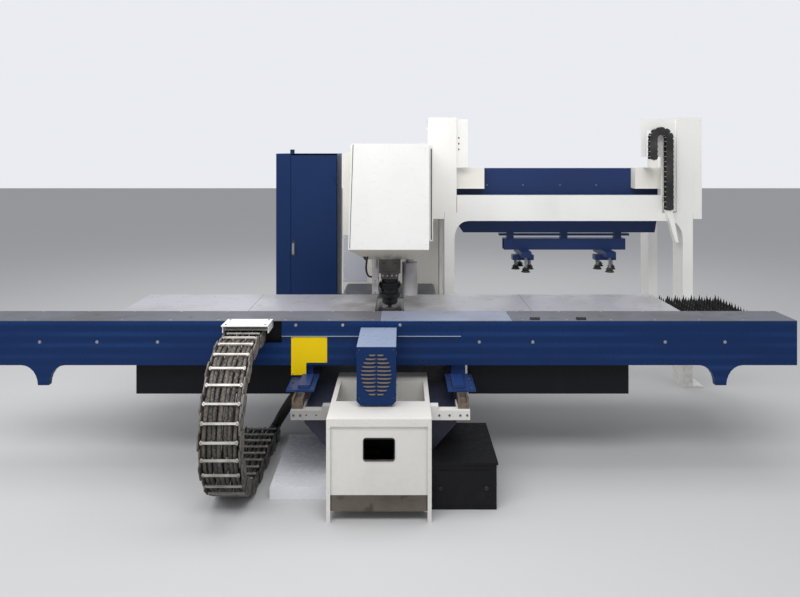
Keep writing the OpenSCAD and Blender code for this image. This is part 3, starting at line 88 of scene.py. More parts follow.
def pale_stage(name, shown, lit, mirrored):
    """Stage material that lights the object as one plain grey, and of which gloss mirrors another, by the
    share that mirrored gives."""
    material = bpy.data.materials.new(name)
    material.use_nodes = True
    tree = material.node_tree
    tree.nodes.clear()
    path = add(tree, "LightPath")
    surface = add(tree, "BsdfPrincipled", Base_Color=(lit, lit, lit, 1), Roughness=0.9)
    glow = add(tree, "Emission", Color=(shown, shown, shown, 1), Strength=1.0)
    part = add(tree, "Math", {"operation": "MULTIPLY"}, i0=path.outputs["Is Glossy Ray"], i1=mirrored)
    both = add(tree, "MixShader", i0=part.outputs[0], i1=surface.outputs[0], i2=glow.outputs[0])
    add(tree, "OutputMaterial", Surface=both.outputs[0])
    return material


floor_half = 30
floor_mesh = bpy.data.meshes.new("studio_floor")
floor_mesh.from_pydata(
    [(-floor_half, -floor_half, 0), (floor_half, -floor_half, 0),
     (floor_half, floor_half, 0), (-floor_half, floor_half, 0)], [], [(0, 1, 2, 3)])
floor_mesh.materials.append(pale_stage("studio_floor", 0.62, 0.55, 0.35))
floor = bpy.data.objects.new("studio_floor", floor_mesh)
bpy.context.scene.collection.objects.link(floor)

sky_lit, sky_shown = 0.55, 0.88
world = bpy.data.worlds.new("studio_sky")
bpy.context.scene.world = world
world.use_nodes = True
world.node_tree.nodes.clear()
sky_path = add(world.node_tree, "LightPath")
sky_seen = add(world.node_tree, "Math", {"operation": "MAXIMUM"},
               i0=sky_path.outputs["Is Camera Ray"], i1=sky_path.outputs["Is Transmission Ray"])
sky_strength = add(world.node_tree, "MapRange", Value=sky_seen.outputs[0], To_Min=sky_lit, To_Max=sky_shown)
sky = add(world.node_tree, "Background", Color=(0.93, 0.95, 1.0, 1), Strength=sky_strength.outputs[0])
add(world.node_tree, "OutputWorld", Surface=sky.outputs[0])

for lamp_name, place, turn, size, power in [
    ("lamp_front", (-0.6, -3.6, 4.6), (0.75, 0, 0), (6.0, 1.6), 164),
    ("lamp_top", (0.4, -0.2, 5.2), (0, 0, 0), (7.0, 2.2), 104),
    ("lamp_left", (-6.0, -1.0, 3.8), (0, -1.05, 0), (2.5, 3.0), 52),
    ("lamp_back", (0.5, 5.5, 4.8), (-0.85, 0, 0), (7.0, 2.0), 90),
]:
    lamp_data = bpy.data.lights.new(lamp_name, "AREA")
    lamp_data.shape = "RECTANGLE"
    lamp_data.size, lamp_data.size_y = size
    lamp_data.energy = power
    lamp = bpy.data.objects.new(lamp_name, lamp_data)
    lamp.location = place
    lamp.rotation_euler = turn
    bpy.context.scene.collection.objects.link(lamp)


# Bed of the machine.
# A long welded box of thick plate, painted dark blue, with outriggers at its sides for the
# guideways and screwed access covers low on both flanks. The paint is dull and dusty.
def chip(red, green, blue):
    """Linear colour, with full alpha, of a paint chip given as it looks on screen, from 0 to 255."""
    shown = np.array([red, green, blue]) / 255
    linear = np.where(shown <= 0.04045, shown / 12.92, ((shown + 0.055) / 1.055) ** 2.4)
    return (*linear.tolist(), 1)


def blend_colour(tree, factor, first, second):
    """Colour that goes from first to second as the factor goes from 0 to 1."""
    mix = add(tree, "Mix", {"data_type": "RGBA", "blend_type": "MIX"}, i0=factor, i6=first, i7=second)
    return mix.outputs[2]


def spread(tree, value, low, high, start=0.0, end=1.0):
    """Value stretched so that low gives start and high gives end, held at both."""
    stretched = add(tree, "MapRange", Value=value, From_Min=low, From_Max=high, To_Min=start, To_Max=end)
    return stretched.outputs[0]


def maths(tree, operation, first, *others):
    """Result of one operation on a number, or carried along several numbers from left to right."""
    for other in others or [0.0]:
        first = add(tree, "Math", {"operation": operation}, i0=first, i1=other).outputs[0]
    return first


def times(tree, *values):
    """Product of several numbers."""
    return maths(tree, "MULTIPLY", *values)


def plus(tree, *values):
    """Sum of several numbers."""
    return maths(tree, "ADD", *values)


def held(tree, operation, first, second):
    """Result of one operation on two numbers, held between 0 and 1."""
    return add(tree, "Math", {"operation": operation, "use_clamp": True}, i0=first, i1=second).outputs[0]


def place_of(tree):
    """Place in the shared frame, as one vector."""
    return add(tree, "TexCoord").outputs["Object"]


def grain(tree, scale, detail=4.0, stretch=(1, 1, 1)):
    """Noise on Object coordinates, in waves of about one over scale metres, stretched along the axes."""
    turned = add(tree, "Mapping", Vector=place_of(tree), Scale=stretch).outputs[0]
    return add(tree, "TexNoise", Vector=turned, Scale=scale, Detail=detail).outputs[0]


def new_group(name, colours, numbers):
    """Node group of a finish: its colour inputs and number inputs, and colour, roughness and height as
    outputs. Returned are the group, what it is given inside and what it has to put out."""
    group = bpy.data.node_groups.new(name, "ShaderNodeTree")
    for label in colours:
        group.interface.new_socket(label, in_out="INPUT", socket_type="NodeSocketColor")
    for label in numbers:
        group.interface.new_socket(label, in_out="INPUT", socket_type="NodeSocketFloat")
    group.interface.new_socket("Colour", in_out="OUTPUT", socket_type="NodeSocketColor")
    group.interface.new_socket("Roughness", in_out="OUTPUT", socket_type="NodeSocketFloat")
    group.interface.new_socket("Height", in_out="OUTPUT", socket_type="NodeSocketFloat")
    return group, group.nodes.new("NodeGroupInput").outputs, group.nodes.new("NodeGroupOutput").inputs


def paint_finish():
    """Paint that has been in use for years: clouds of slightly other tone, run marks down the walls,
    dust that thickens towards the floor, small rubbed specks, and the fine skin of sprayed paint."""
    tree, given, put = new_group("worn_paint", ("Paint", "Dirt"), ("Grime", "Dust", "Gloss"))
    clouds = grain(tree, 1.3, 6)
    runs = grain(tree, 9.0, 6, (1, 1, 0.12))
    rubs = grain(tree, 31.0, 8)
    skin = grain(tree, 260.0, 2)
    specks = spread(tree, rubs, 0.68, 0.74)
    uneven = spread(tree, rubs, 0.3, 0.7, -0.05, 0.07)
    toned = blend_colour(tree, spread(tree, clouds, 0.35, 0.7, 0.0, 0.1), given["Paint"], (0, 0, 0, 1))
    above_floor = add(tree, "SeparateXYZ", i0=place_of(tree)).outputs[2]
    low_dust = times(tree, spread(tree, above_floor, 0.6, 0.0), given["Dust"])
    stains = times(tree, spread(tree, runs, 0.52, 0.8), spread(tree, clouds, 0.4, 0.7))
    soiled = times(tree, plus(tree, stains, times(tree, specks, 0.5)), given["Grime"])
    dirt = held(tree, "ADD", soiled, times(tree, low_dust, spread(tree, rubs, 0.35, 0.75)))
    tree.links.new(blend_colour(tree, dirt, toned, given["Dirt"]), put["Colour"])
    tree.links.new(plus(tree, given["Gloss"], times(tree, dirt, 0.35), uneven), put["Roughness"])
    tree.links.new(plus(tree, times(tree, skin, 0.5), times(tree, specks, 0.6)), put["Height"])
    return tree


def dressed(name, finish, values, bump, depth, **surface):
    """Material whose colour, roughness and relief come from a finish with these values. Bump is the
    strength of the relief, depth its height, and surface holds what else the shader is given."""
    material = bpy.data.materials.new(name)
    material.use_nodes = True
    tree = material.node_tree
    tree.nodes.clear()
    look = add(tree, "Group", {"node_tree": finish}, **values)
    relief = add(tree, "Bump", Height=look.outputs["Height"], Strength=bump, Distance=depth)
    shader = add(tree, "BsdfPrincipled", Base_Color=look.outputs["Colour"],
                 Roughness=look.outputs["Roughness"], Normal=relief.outputs[0], **surface)
    add(tree, "OutputMaterial", Surface=shader.outputs[0])
    return material


worn_paint = paint_finish()


def painted(name, paint, dirt, grime, dust, gloss, bump=0.05, coat=0.0, shine=0.5):
    """Paint on metal, with an optional clear coat. Shine is the strength of its plain reflection."""
    values = {"Paint": paint, "Dirt": dirt, "Grime": grime, "Dust": dust, "Gloss": gloss}
    return dressed(name, worn_paint, values, bump, 0.002, Coat_Weight=coat, Coat_Roughness=0.25,
                   Specular_IOR_Level=shine)


def finish_node(material, *names):
    """Gives CAD nodes this material in place of the one they were packed with."""
    for name in names:
        nodes[name].data.materials.clear()
        nodes[name].data.materials.append(material)


def new_piece(name, shape, material, body, corner=0.7):
    """New piece from a shape, which is its points and its four-sided faces. Doubled points are merged,
    normals turned outward, edges that bend by more than corner radians kept sharp, and it rides on the
    body, if any."""
    points, faces = shape
    mesh = bpy.data.meshes.new(name)
    mesh.from_pydata(points.tolist(), [], faces.tolist())
    cleaned = bmesh.new()
    cleaned.from_mesh(mesh)
    bmesh.ops.remove_doubles(cleaned, verts=cleaned.verts, dist=1e-6)
    bmesh.ops.recalc_face_normals(cleaned, faces=cleaned.faces)
    cleaned.to_mesh(mesh)
    cleaned.free()
    mesh.shade_smooth()
    mesh.set_sharp_from_angle(angle=corner)
    mesh.materials.append(material)
    piece = bpy.data.objects.new(name, mesh)
    bpy.context.scene.collection.objects.link(piece)
    if body:
        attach(piece, body)
    return piece


def skin_faces(rings, sides):
    """Four-sided faces that join rings of points, each with the same number of points around."""
    first = np.arange(rings - 1)[:, None] * sides
    around = np.arange(sides)[None]
    after = (around + 1) % sides
    corners = [first + around, first + after, first + sides + after, first + sides + around]
    return np.stack(corners, -1).reshape(-1, 4)


def stacked(rings, heights):
    """Skin over outlines in X and Y, each at its own height."""
    points = np.concatenate([np.column_stack([ring, np.full(len(ring), height)])
                             for ring, height in zip(rings, heights)])
    return points, skin_faces(len(rings), len(rings[0]))


def slab(outline, depth, edge):
    """Closed solid over a convex outline in X and Y, depth thick along Z, its rims drawn in by edge."""
    middle = outline.mean(0)
    arms = outline - middle
    inner = middle + arms * (1 - edge / np.linalg.norm(arms, axis=1, keepdims=True))
    centre = np.repeat(middle[None], len(outline), 0)
    return stacked([centre, inner, outline, outline, inner, centre], [0, 0, edge, depth - edge, depth, depth])


def rounded(width, height, radius, steps=4):
    """Outline of a rectangle with round corners, about the origin."""
    turn = np.linspace(0, pi / 2, steps)
    corner = radius * np.column_stack([np.cos(turn), np.sin(turn)])
    half = np.array([width / 2 - radius, height / 2 - radius])
    quarters = [np.array([[np.cos(a), -np.sin(a)], [np.sin(a), np.cos(a)]])
                for a in (0, pi / 2, pi, 3 * pi / 2)]
    signs = np.array([[1, 1], [-1, 1], [-1, -1], [1, -1]])
    return np.concatenate([corner @ quarter.T + half * sign for quarter, sign in zip(quarters, signs)])


def flat_plate(width, height, radius, depth, edge, steps=4):
    """Plate with round corners about the origin, depth thick along Z, its rims drawn in by edge."""
    return slab(rounded(width, height, radius, steps), depth, edge)


def spots(xs, ys, zs):
    """Places at every mix of these X, Y and Z, of which each is a number or a list."""
    return np.stack(np.meshgrid(xs, ys, zs, indexing="ij"), -1).reshape(-1, 3)


# Turns that lay the Z of a shape along another way.
to_top = np.eye(3)
to_front = np.array([[1, 0, 0], [0, 0, -1], [0, 1, 0]])
to_back = np.array([[-1, 0, 0], [0, 0, 1], [0, 1, 0]])
to_left = np.array([[0, 0, -1], [0, 1, 0], [1, 0, 0]])
to_right = np.array([[0, 0, 1], [0, 1, 0], [-1, 0, 0]])


def placed(shape, places, turns=to_top):
    """The same shape at one or many places. Each copy is turned, by one turn for all or by its own, then
    moved."""
    points, faces = shape
    places = np.atleast_2d(places)
    turned = np.einsum("kij,pj->kpi", np.reshape(turns, (-1, 3, 3)), points)
    many = (turned + places[:, None]).reshape(-1, 3)
    return many, (faces[None] + len(points) * np.arange(len(places))[:, None, None]).reshape(-1, 4)


def joined(*shapes):
    """Several shapes as one set of points and faces."""
    starts = np.cumsum([0] + [len(points) for points, _ in shapes[:-1]])
    return (np.concatenate([points for points, _ in shapes]),
            np.concatenate([faces + start for (_, faces), start in zip(shapes, starts)]))


def cap_screws(radius, places, turns=to_top):
    """Cap screws at these places: drums along Z with a rounded rim and a socket of six sides."""
    sides = 12
    across = radius * np.array([0, 1, 1, 0.9, 0.55, 0.55, 0])
    height = radius * np.array([0, 0, 0.5, 0.62, 0.62, 0.3, 0.3])
    turn = np.arange(sides) * 2 * pi / sides
    six = np.where(np.arange(sides) % 2 == 1, np.cos(pi / 6), 1.0)
    shape = np.where(np.arange(7)[:, None] > 3, six, 1.0) * across[:, None]
    points = np.stack([shape * np.cos(turn), shape * np.sin(turn), np.repeat(height[:, None], sides, 1)], -1)
    return placed((points.reshape(-1, 3), skin_faces(7, sides)), places, turns)


navy_paint = painted("navy_paint", chip(30, 35, 56), chip(58, 56, 54), 0.5, 0.5, 0.48, 0.08)
finish_node(navy_paint, "bed_body", "outriggers")

cover_long, cover_tall, cover_t = 0.52, 0.15, 0.004
foot_x, cover_ys, cover_z = 0.28, (0.15, 0.95), 0.125
screw_y, screw_z = cover_long / 2 - 0.02, cover_tall / 2 - 0.018
flank_cover = flat_plate(cover_tall, cover_long, 0.02, cover_t, 0.001)
for side, side_name, turn in ((-1, "left", to_left), (1, "right", to_right)):
    covers = placed(flank_cover, spots(side * foot_x, cover_ys, cover_z), turn)
    screws = spots(side * (foot_x + cover_t), [y + dy for y in cover_ys for dy in (-screw_y, screw_y)],
                   (cover_z - screw_z, cover_z + screw_z))
    new_piece(f"flank_covers_{side_name}", joined(covers, cap_screws(0.006, screws, turn)), navy_paint,
              "machine")


# Front housing, slug tray, floor pan and service box.
# Bent sheet steel, powder-coated in a warm white that greys low down, screwed along its flanges,
# with a rubber lip round the window and painted shade in the hollow behind it. The tray is bare sheet
# browned by oil, the box is black.
def copy_of(material, name):
    """Own copy of a material under another name."""
    copied = material.copy()
    copied.name = name
    return copied


def tint_where(material, mask_of, colour, steel=False):
    """Colours the part of a material that a mask picks. The mask is made by mask_of from the node tree
    and the three outputs of the place in the shared frame. Steel makes that part metallic too."""
    tree = material.node_tree
    shader = next(node for node in tree.nodes if node.type == "BSDF_PRINCIPLED")
    mask = mask_of(tree, *add(tree, "SeparateXYZ", i0=place_of(tree)).outputs)
    under = shader.inputs["Base Color"].links[0].from_socket
    tree.links.new(blend_colour(tree, mask, under, colour), shader.inputs["Base Color"])
    if steel:
        tree.links.new(mask, shader.inputs["Metallic"])


def bezel(outer, inner, depth, edge=0.001):
    """Flat ring between two outlines of the same number of points, depth thick along Z."""
    drawn = edge / 0.1
    rings = [outer, outer, outer * (1 - drawn), inner * (1 + drawn), inner, inner, outer]
    return stacked(rings, [0, depth - edge, depth, depth, depth - edge, 0, 0])


def metal_finish():
    """Sheet and machined steel: fine brushing along X, smudges of oil and a few dull stains."""
    tree, given, put = new_group("worn_metal", ("Metal", "Stain"), ("Wear", "Gloss", "Brushing"))
    smudges = grain(tree, 2.3, 6)
    marks = grain(tree, 11.0, 7)
    strokes = spread(tree, grain(tree, 14.0, 8, (1, 22, 22)), 0.3, 0.7, -0.5, 0.5)
    brushed = times(tree, strokes, given["Brushing"])
    oiled = plus(tree, spread(tree, smudges, 0.45, 0.75), spread(tree, marks, 0.6, 0.75, 0.0, 0.7))
    stained = held(tree, "MULTIPLY", oiled, given["Wear"])
    darkened = times(tree, plus(tree, brushed, 0.5), 0.14)
    bare = blend_colour(tree, darkened, given["Metal"], (0, 0, 0, 1))
    rougher = plus(tree, times(tree, brushed, 0.12), times(tree, stained, 0.3))
    tree.links.new(blend_colour(tree, stained, bare, given["Stain"]), put["Colour"])
    tree.links.new(plus(tree, given["Gloss"], rougher), put["Roughness"])
    tree.links.new(plus(tree, brushed, times(tree, marks, 0.4)), put["Height"])
    return tree


def moulded_finish():
    """Moulded plastic and rubber: a fine matt grain with dust lying in it, in so many patches a metre."""
    tree, given, put = new_group("moulded", ("Plastic", "Dust"), ("Dusting", "Gloss", "Patches"))
    pits = grain(tree, 320.0, 3)
    dusty = times(tree, spread(tree, grain(tree, given["Patches"], 8), 0.4, 0.75), given["Dusting"])
    uneven = spread(tree, pits, 0.3, 0.7, -0.05, 0.05)
    tree.links.new(blend_colour(tree, dusty, given["Plastic"], given["Dust"]), put["Colour"])
    tree.links.new(plus(tree, given["Gloss"], times(tree, dusty, 0.4), uneven), put["Roughness"])
    tree.links.new(pits, put["Height"])
    return tree


worn_metal = metal_finish()
moulded = moulded_finish()


def metal(name, colour, stain, wear, gloss, brushing=0.5, metallic=1.0, bump=0.04):
    """Bare metal."""
    values = {"Metal": colour, "Stain": stain, "Wear": wear, "Gloss": gloss, "Brushing": brushing}
    return dressed(name, worn_metal, values, bump, 0.001, Metallic=metallic)


def plastic(name, colour, dust, dusting, gloss, bump=0.1, patches=7.0):
    """Moulded plastic or rubber. Patches is how many patches of dust lie along a metre."""
    values = {"Plastic": colour, "Dust": dust, "Dusting": dusting, "Gloss": gloss, "Patches": patches}
    return dressed(name, moulded, values, bump, 0.0006)


housing_paint = painted("housing_paint", chip(226, 224, 218), chip(140, 132, 120), 0.12, 0.12, 0.36, 0.04,
                        0.15)
hollow_painted_shade = copy_of(housing_paint, "hollow_painted_shade")
hollow_half, hollow_front, hollow_back, hollow_top = 0.2845, -1.2845, -1.0455, 0.5635


def in_hollow(tree, x, y, z):
    """One inside the housing behind its window and below the chute, where hardly any light comes and where the
    paint is tinted near black as painted shade.
    """
    aside = maths(tree, "LESS_THAN", maths(tree, "ABSOLUTE", x), hollow_half)
    deep = times(tree, maths(tree, "GREATER_THAN", y, hollow_front), maths(tree, "LESS_THAN", y, hollow_back))
    return times(tree, aside, deep, maths(tree, "LESS_THAN", z, hollow_top))


# Painted shade: the hollow behind the window and under the chute is tinted near black.
tint_where(hollow_painted_shade, in_hollow, chip(18, 18, 20))
finish_node(hollow_painted_shade, "front_housing")
pan_paint_with_painted_shadow = painted("pan_paint_with_painted_shadow", chip(240, 242, 246), chip(150, 148, 146), 0.1, 0.06, 0.24, 0.02, 0.2)
# Painted shadow: the pan greys towards its back, where the guide above shades it.
tint_where(pan_paint_with_painted_shadow, lambda tree, x, y, z: spread(tree, y, -0.98, -0.5, 0.0, 0.75), chip(120, 122, 128))
finish_node(pan_paint_with_painted_shadow, "floor_pan")
tray_steel = metal("tray_steel", chip(120, 112, 104), chip(58, 48, 38), 0.8, 0.5, 0.6, 0.6, 0.1)
finish_node(tray_steel, "slug_tray")
box_black = painted("box_black", chip(15, 16, 20), chip(50, 46, 44), 0.3, 0.25, 0.5, 0.06, 0.0, 0.2)
finish_node(box_black, "service_box")
grey_dust = chip(120, 114, 106)
black_rubber = plastic("black_rubber", chip(26, 26, 27), grey_dust, 0.25, 0.62)

housing_front, window_y, flange_x, top_flange_z = -1.303, -1.291, 0.279, 0.55
window_wide, window_tall, window_z, lip_w, lip_overlap = 0.169, 0.121, 0.3985, 0.004, 0.002
window_lip = bezel(rounded(window_wide + 2 * lip_w, window_tall + 2 * lip_w, 0.017, 5),
                   rounded(window_wide - 2 * lip_overlap, window_tall - 2 * lip_overlap, 0.008, 5), 0.004)
new_piece("window_lip", placed(window_lip, (0, window_y, window_z), to_front),
          black_rubber, "machine")
side_flange = spots((-flange_x, flange_x), housing_front, (0.17, 0.29, 0.41, 0.52))
top_flange = spots((-0.2, -0.07, 0.07, 0.2), housing_front, top_flange_z)
new_piece("housing_screws", cap_screws(0.004, np.concatenate([side_flange, top_flange]), to_front),
          housing_paint, "machine")

box_x, box_y, box_right, box_low, door_t, lock_r = 0.478, -1.17, 0.667, 0.125, 0.003, 0.012
front_door = placed(flat_plate(0.32, 0.2, 0.012, door_t, 0.001), (box_x, box_y, box_low), to_front)
side_door = placed(flat_plate(0.2, 0.42, 0.012, door_t, 0.001), (box_right, -0.905, box_low), to_right)
new_piece("box_doors", joined(front_door, side_door), box_black, "machine")
front_locks = cap_screws(lock_r, spots((box_x - 0.13, box_x + 0.13), box_y - door_t, box_low), to_front)
side_locks = cap_screws(lock_r, spots(box_right + door_t, (-1.08, -0.73), box_low), to_right)
new_piece("box_locks", joined(front_locks, side_locks), black_rubber, "machine")


# Guideways: arms, bearing blocks and the two Y beams.
# Thick flame-cut plate. The left arm is light grey and the right one white, the blocks are
# cast iron browned by grease, and the beams are blue with ground rails and dark zinc screws.
arm_paint = painted("arm_paint", chip(160, 158, 156), chip(84, 74, 66), 0.5, 0.2, 0.5, 0.1)
finish_node(arm_paint, "front_arm_left")
finish_node(housing_paint, "front_arm_right")
oiled_iron = metal("oiled_iron", chip(128, 114, 100), chip(62, 42, 30), 0.9, 0.42, 0.3, 0.55, 0.2)
finish_node(oiled_iron, "bearing_blocks")
dark_zinc = metal("dark_zinc", chip(112, 110, 108), chip(60, 52, 44), 0.7, 0.4, 0.3, 0.8)
beam_blue = painted("beam_blue", chip(36, 60, 112), chip(30, 32, 42), 0.4, 0.2, 0.35, 0.06, 0.0, 0.3)

# Below this height the beams are ground steel, because the rails hang under them.
ground_rail_top = 0.5865
railed_blue = copy_of(beam_blue, "railed_blue")
tint_where(railed_blue, lambda tree, x, y, z: maths(tree, "LESS_THAN", z, ground_rail_top),
           chip(150, 152, 156), True)
finish_node(railed_blue, "y_beams")

rail_x, block_half_x, block_half_y, block_z = 0.49, 0.032, 0.07, 0.545
bearing_ys = (-0.98, -0.56, -0.14, 0.28)
flank_ys = [y + dy for y in bearing_ys for dy in (-0.045, 0, 0.045)]
left_screws = cap_screws(0.0065, spots(-(rail_x + block_half_x), flank_ys, block_z), to_left)
right_screws = cap_screws(0.0065, spots(rail_x + block_half_x, flank_ys, block_z), to_right)
front_places = np.array([(side * rail_x + dx, y - block_half_y, block_z)
                         for side in (-1, 1) for y in bearing_ys for dx in (-0.02, 0.02)])
new_piece("block_screws", joined(left_screws, right_screws, cap_screws(0.0045, front_places, to_front)),
          dark_zinc, "machine")
foot_xs = [side * rail_x + dx for side in (-1, 1) for dx in (-0.062, 0.062)]
beam_foot_top = 0.6
new_piece("foot_screws", cap_screws(0.008, spots(foot_xs, (-0.915, -0.83, -0.75), beam_foot_top)),
          dark_zinc, "guide")
arm_front, arm_z = -1.075, 0.499
arm_places = spots((-0.508, -0.468, 0.345, 0.405, 0.468, 0.508), arm_front, arm_z)
new_piece("arm_screws", cap_screws(0.0065, arm_places, to_front), dark_zinc, "machine")


# C-frame: lower arm, throat plate, column and upper arm.
# Welded from heavy plate. The column and the upper arm are painted cream white, the cover plate
# on the column is greyer, the lower arm is primed, and a thin steel plate lies on it.
cream_paint = painted("cream_paint", chip(242, 239, 230), chip(160, 151, 136), 0.14, 0.2, 0.38, 0.04, 0.15)
finish_node(cream_paint, "upper_arm")
column_paint = copy_of(cream_paint, "column_paint")
finish_node(column_paint, "column")
grey_primer = painted("grey_primer", chip(140, 140, 140), chip(70, 66, 62), 0.5, 0.2, 0.5, 0.08)
finish_node(grey_primer, "lower_arm")
throat_steel = metal("throat_steel", chip(120, 124, 130), chip(60, 58, 56), 0.5, 0.4)
finish_node(throat_steel, "throat_plate")

plate_left, plate_right, plate_low, plate_high, plate_y = -0.434, -0.21, 0.79, 1.236, 1.346
plate_back, plate_side = 1.3495, -0.2


def on_cover_plate(tree, x, y, z):
    """One on the plate that covers the column's front, left of the arm."""
    return times(tree, maths(tree, "LESS_THAN", y, plate_back), maths(tree, "LESS_THAN", x, plate_side))


tint_where(column_paint, on_cover_plate, chip(196, 197, 206))
plate_places = spots((plate_left + 0.014, plate_right - 0.014), plate_y,
                     np.linspace(plate_low + 0.02, plate_high - 0.02, 4))
new_piece("column_screws", cap_screws(0.005, plate_places, to_front), cream_paint, "machine")

# The covers sunk into the upper arm's sides: two on the left, and one behind the head on the right.
arm_side_z, arm_cover_tall, arm_cover_long, arm_cover_t = 1.73, 0.42, 0.6, 0.003
arm_cover = flat_plate(arm_cover_tall, arm_cover_long, 0.03, arm_cover_t, 0.001)
arm_sides = ((-1, "left", -0.255, to_left, (0.25, 1.0)), (1, "right", 0.355, to_right, (0.2,)))
for side, side_name, x, turn, ys in arm_sides:
    covers = placed(arm_cover, spots(x, ys, arm_side_z), turn)
    dots = spots(x + side * arm_cover_t, [y + dy for y in ys for dy in (-0.27, 0, 0.27)],
                 (arm_side_z - 0.185, arm_side_z + 0.185))
    new_piece(f"arm_covers_{side_name}", joined(covers, cap_screws(0.008, dots, turn)), cream_paint,
              "machine")


# Punching head: cover, skirt, ram guide, press cylinder, gearbox, ram, tool and die.
# The cover is bright white sheet with thin dark strips of painted shadow at its sides, its skirt greyer and
# greasy. The ram, the tool and the die are ground and blackened steel, the gearbox pale cast aluminium.
cover_white = painted("cover_white", chip(248, 247, 243), chip(176, 168, 154), 0.1, 0.0, 0.3, 0.03, 0.3)
finish_node(cover_white, "head_cover")
skirt_paint = painted("skirt_paint", chip(206, 200, 186), chip(92, 80, 66), 0.7, 0.0, 0.42, 0.08, 0.1)
punch_x = 0.036
knob_middle, knob_reach, knob_top = (-0.13, -0.266), 0.0175, 1.296
skirt_low, skirt_high, grease_half, grease_core = 1.266, 1.33, 0.19, 0.08


def on_knob(tree, x, y, z):
    """One on the knob under the skirt, a box about its middle."""
    near = [maths(tree, "LESS_THAN", maths(tree, "ABSOLUTE", maths(tree, "SUBTRACT", at, middle)), knob_reach)
            for at, middle in zip((x, y), knob_middle)]
    return times(tree, *near, maths(tree, "LESS_THAN", z, knob_top))


def on_greasy_rim(tree, x, y, z):
    """Grease round the ram: strongest on the skirt's low rim, fading upward and to both sides."""
    aside = maths(tree, "ABSOLUTE", maths(tree, "SUBTRACT", x, punch_x))
    patchy = spread(tree, grain(tree, 24.0, 6), 0.35, 0.6, 0.35, 1.0)
    return times(tree, spread(tree, z, skirt_high, skirt_low, 0.0, 0.85),
                 spread(tree, aside, grease_half, grease_core), patchy)


tint_where(skirt_paint, on_greasy_rim, chip(62, 50, 44))
tint_where(skirt_paint, on_knob, chip(20, 20, 22))
finish_node(skirt_paint, "head_skirt")
dark_iron = metal("dark_iron", chip(112, 106, 102), chip(28, 25, 24), 1.0, 0.36, 0.8, 0.7, 0.08)
finish_node(dark_iron, "ram_guide", "ram", "die_holder")
cast_alloy = metal("cast_alloy", chip(216, 214, 214), chip(84, 74, 68), 0.8, 0.42, 0.2, 0.4, 0.15)
finish_node(cast_alloy, "index_gearbox", "strip_cylinder")
finish_node(beam_blue, "press_cylinder")
black_steel = metal("black_steel", chip(62, 63, 66), chip(28, 26, 24), 0.5, 0.32, 0.3, 0.8, 0.05)
finish_node(black_steel, "punch_tool")
ground_steel = metal("ground_steel", chip(196, 198, 202), chip(112, 106, 98), 0.35, 0.24, 0.5, 1.0, 0.03)
finish_node(ground_steel, "die")
zinc_steel = metal("zinc_steel", chip(178, 180, 184), chip(110, 104, 96), 0.4, 0.34, 0.3, 0.9)
# Dark for the real joints and slots, and for the painted shadow lines beside the head cover.
dark_seam_and_painted_shade = plastic("dark_seam_and_painted_shade", chip(58, 58, 60), grey_dust, 0.3, 0.6)

head_y = -0.32
# Painted shadow: thin dark strips in the gap right of the head and along the cover's shaded left edge.
arm_shadow_line = placed(flat_plate(0.008, 0.67, 0.003, 0.0015, 0.0004), (0.3425, -0.1, 1.725), to_front)
left_edge = np.array([(-0.242, 1.36), (-0.2375, 1.36), (-0.2135, 2.088), (-0.218, 2.088)])
left_shadow_line = placed(slab(left_edge, 0.0012, 0.0004), (0, head_y, 0), to_front)
new_piece("head_shadow_lines", joined(arm_shadow_line, left_shadow_line), dark_seam_and_painted_shade, "machine")
head_places = spots((-0.19, 0.29), head_y, (1.39, 1.72, 2.06))
new_piece("head_screws", cap_screws(0.005, head_places, to_front), cover_white, "machine")

chuck_front, chuck_side, chuck_z, chuck_screw = -0.088, punch_x + 0.064, 1.125, 0.007
chuck_xs = [punch_x + dx for dx in (-0.05, -0.017, 0.017, 0.05)]
chuck_front_screws = cap_screws(chuck_screw, spots(chuck_xs, chuck_front, chuck_z), to_front)
chuck_side_screws = cap_screws(chuck_screw, spots(chuck_side, (-0.05, 0, 0.05), chuck_z), to_right)
new_piece("chuck_screws", joined(chuck_front_screws, chuck_side_screws),
          ground_steel, "ram")

teeth, ring_r, ring_z = 48, 0.0775, 1.043
tooth_turn = np.arange(teeth) * 2 * pi / teeth
cosine, sine, zero = np.cos(tooth_turn), np.sin(tooth_turn), np.zeros(teeth)
outward_turns = np.stack([np.stack([-sine, cosine, zero], -1), np.repeat([[0.0, 0.0, 1.0]], teeth, 0),
                          np.stack([cosine, sine, zero], -1)], -1)
tooth_places = np.column_stack([punch_x + ring_r * cosine, ring_r * sine, np.full(teeth, ring_z)])
tooth = flat_plate(0.006, 0.02, 0.0015, 0.004, 0.001, 2)
new_piece("tool_ring", placed(tooth, tooth_places, outward_turns), black_steel, "punch")
gear_places = spots(punch_x - 0.107, -0.066, (1.062, 1.083, 0.996))
new_piece("gearbox_screws", cap_screws(0.006, gear_places, to_front), zinc_steel, "machine")


# Frame and cover of the guide with its top plates, screws and yellow plate.
# Long blue sheet cover, sprayed semi-gloss, held by bright cap screws to a dark welded frame. The
# plates on top are grey sheet with footmarks and dust, held by small sunk screws.
def lathed(profile, sides=32):
    """Round solid about Z from a profile of radius and height."""
    turn = np.arange(sides) * 2 * pi / sides
    radius, height = np.array(profile, float).T
    points = np.stack([radius[:, None] * np.cos(turn), radius[:, None] * np.sin(turn),
                       np.repeat(height[:, None], sides, 1)], -1)
    return points.reshape(-1, 3), skin_faces(len(radius), sides)


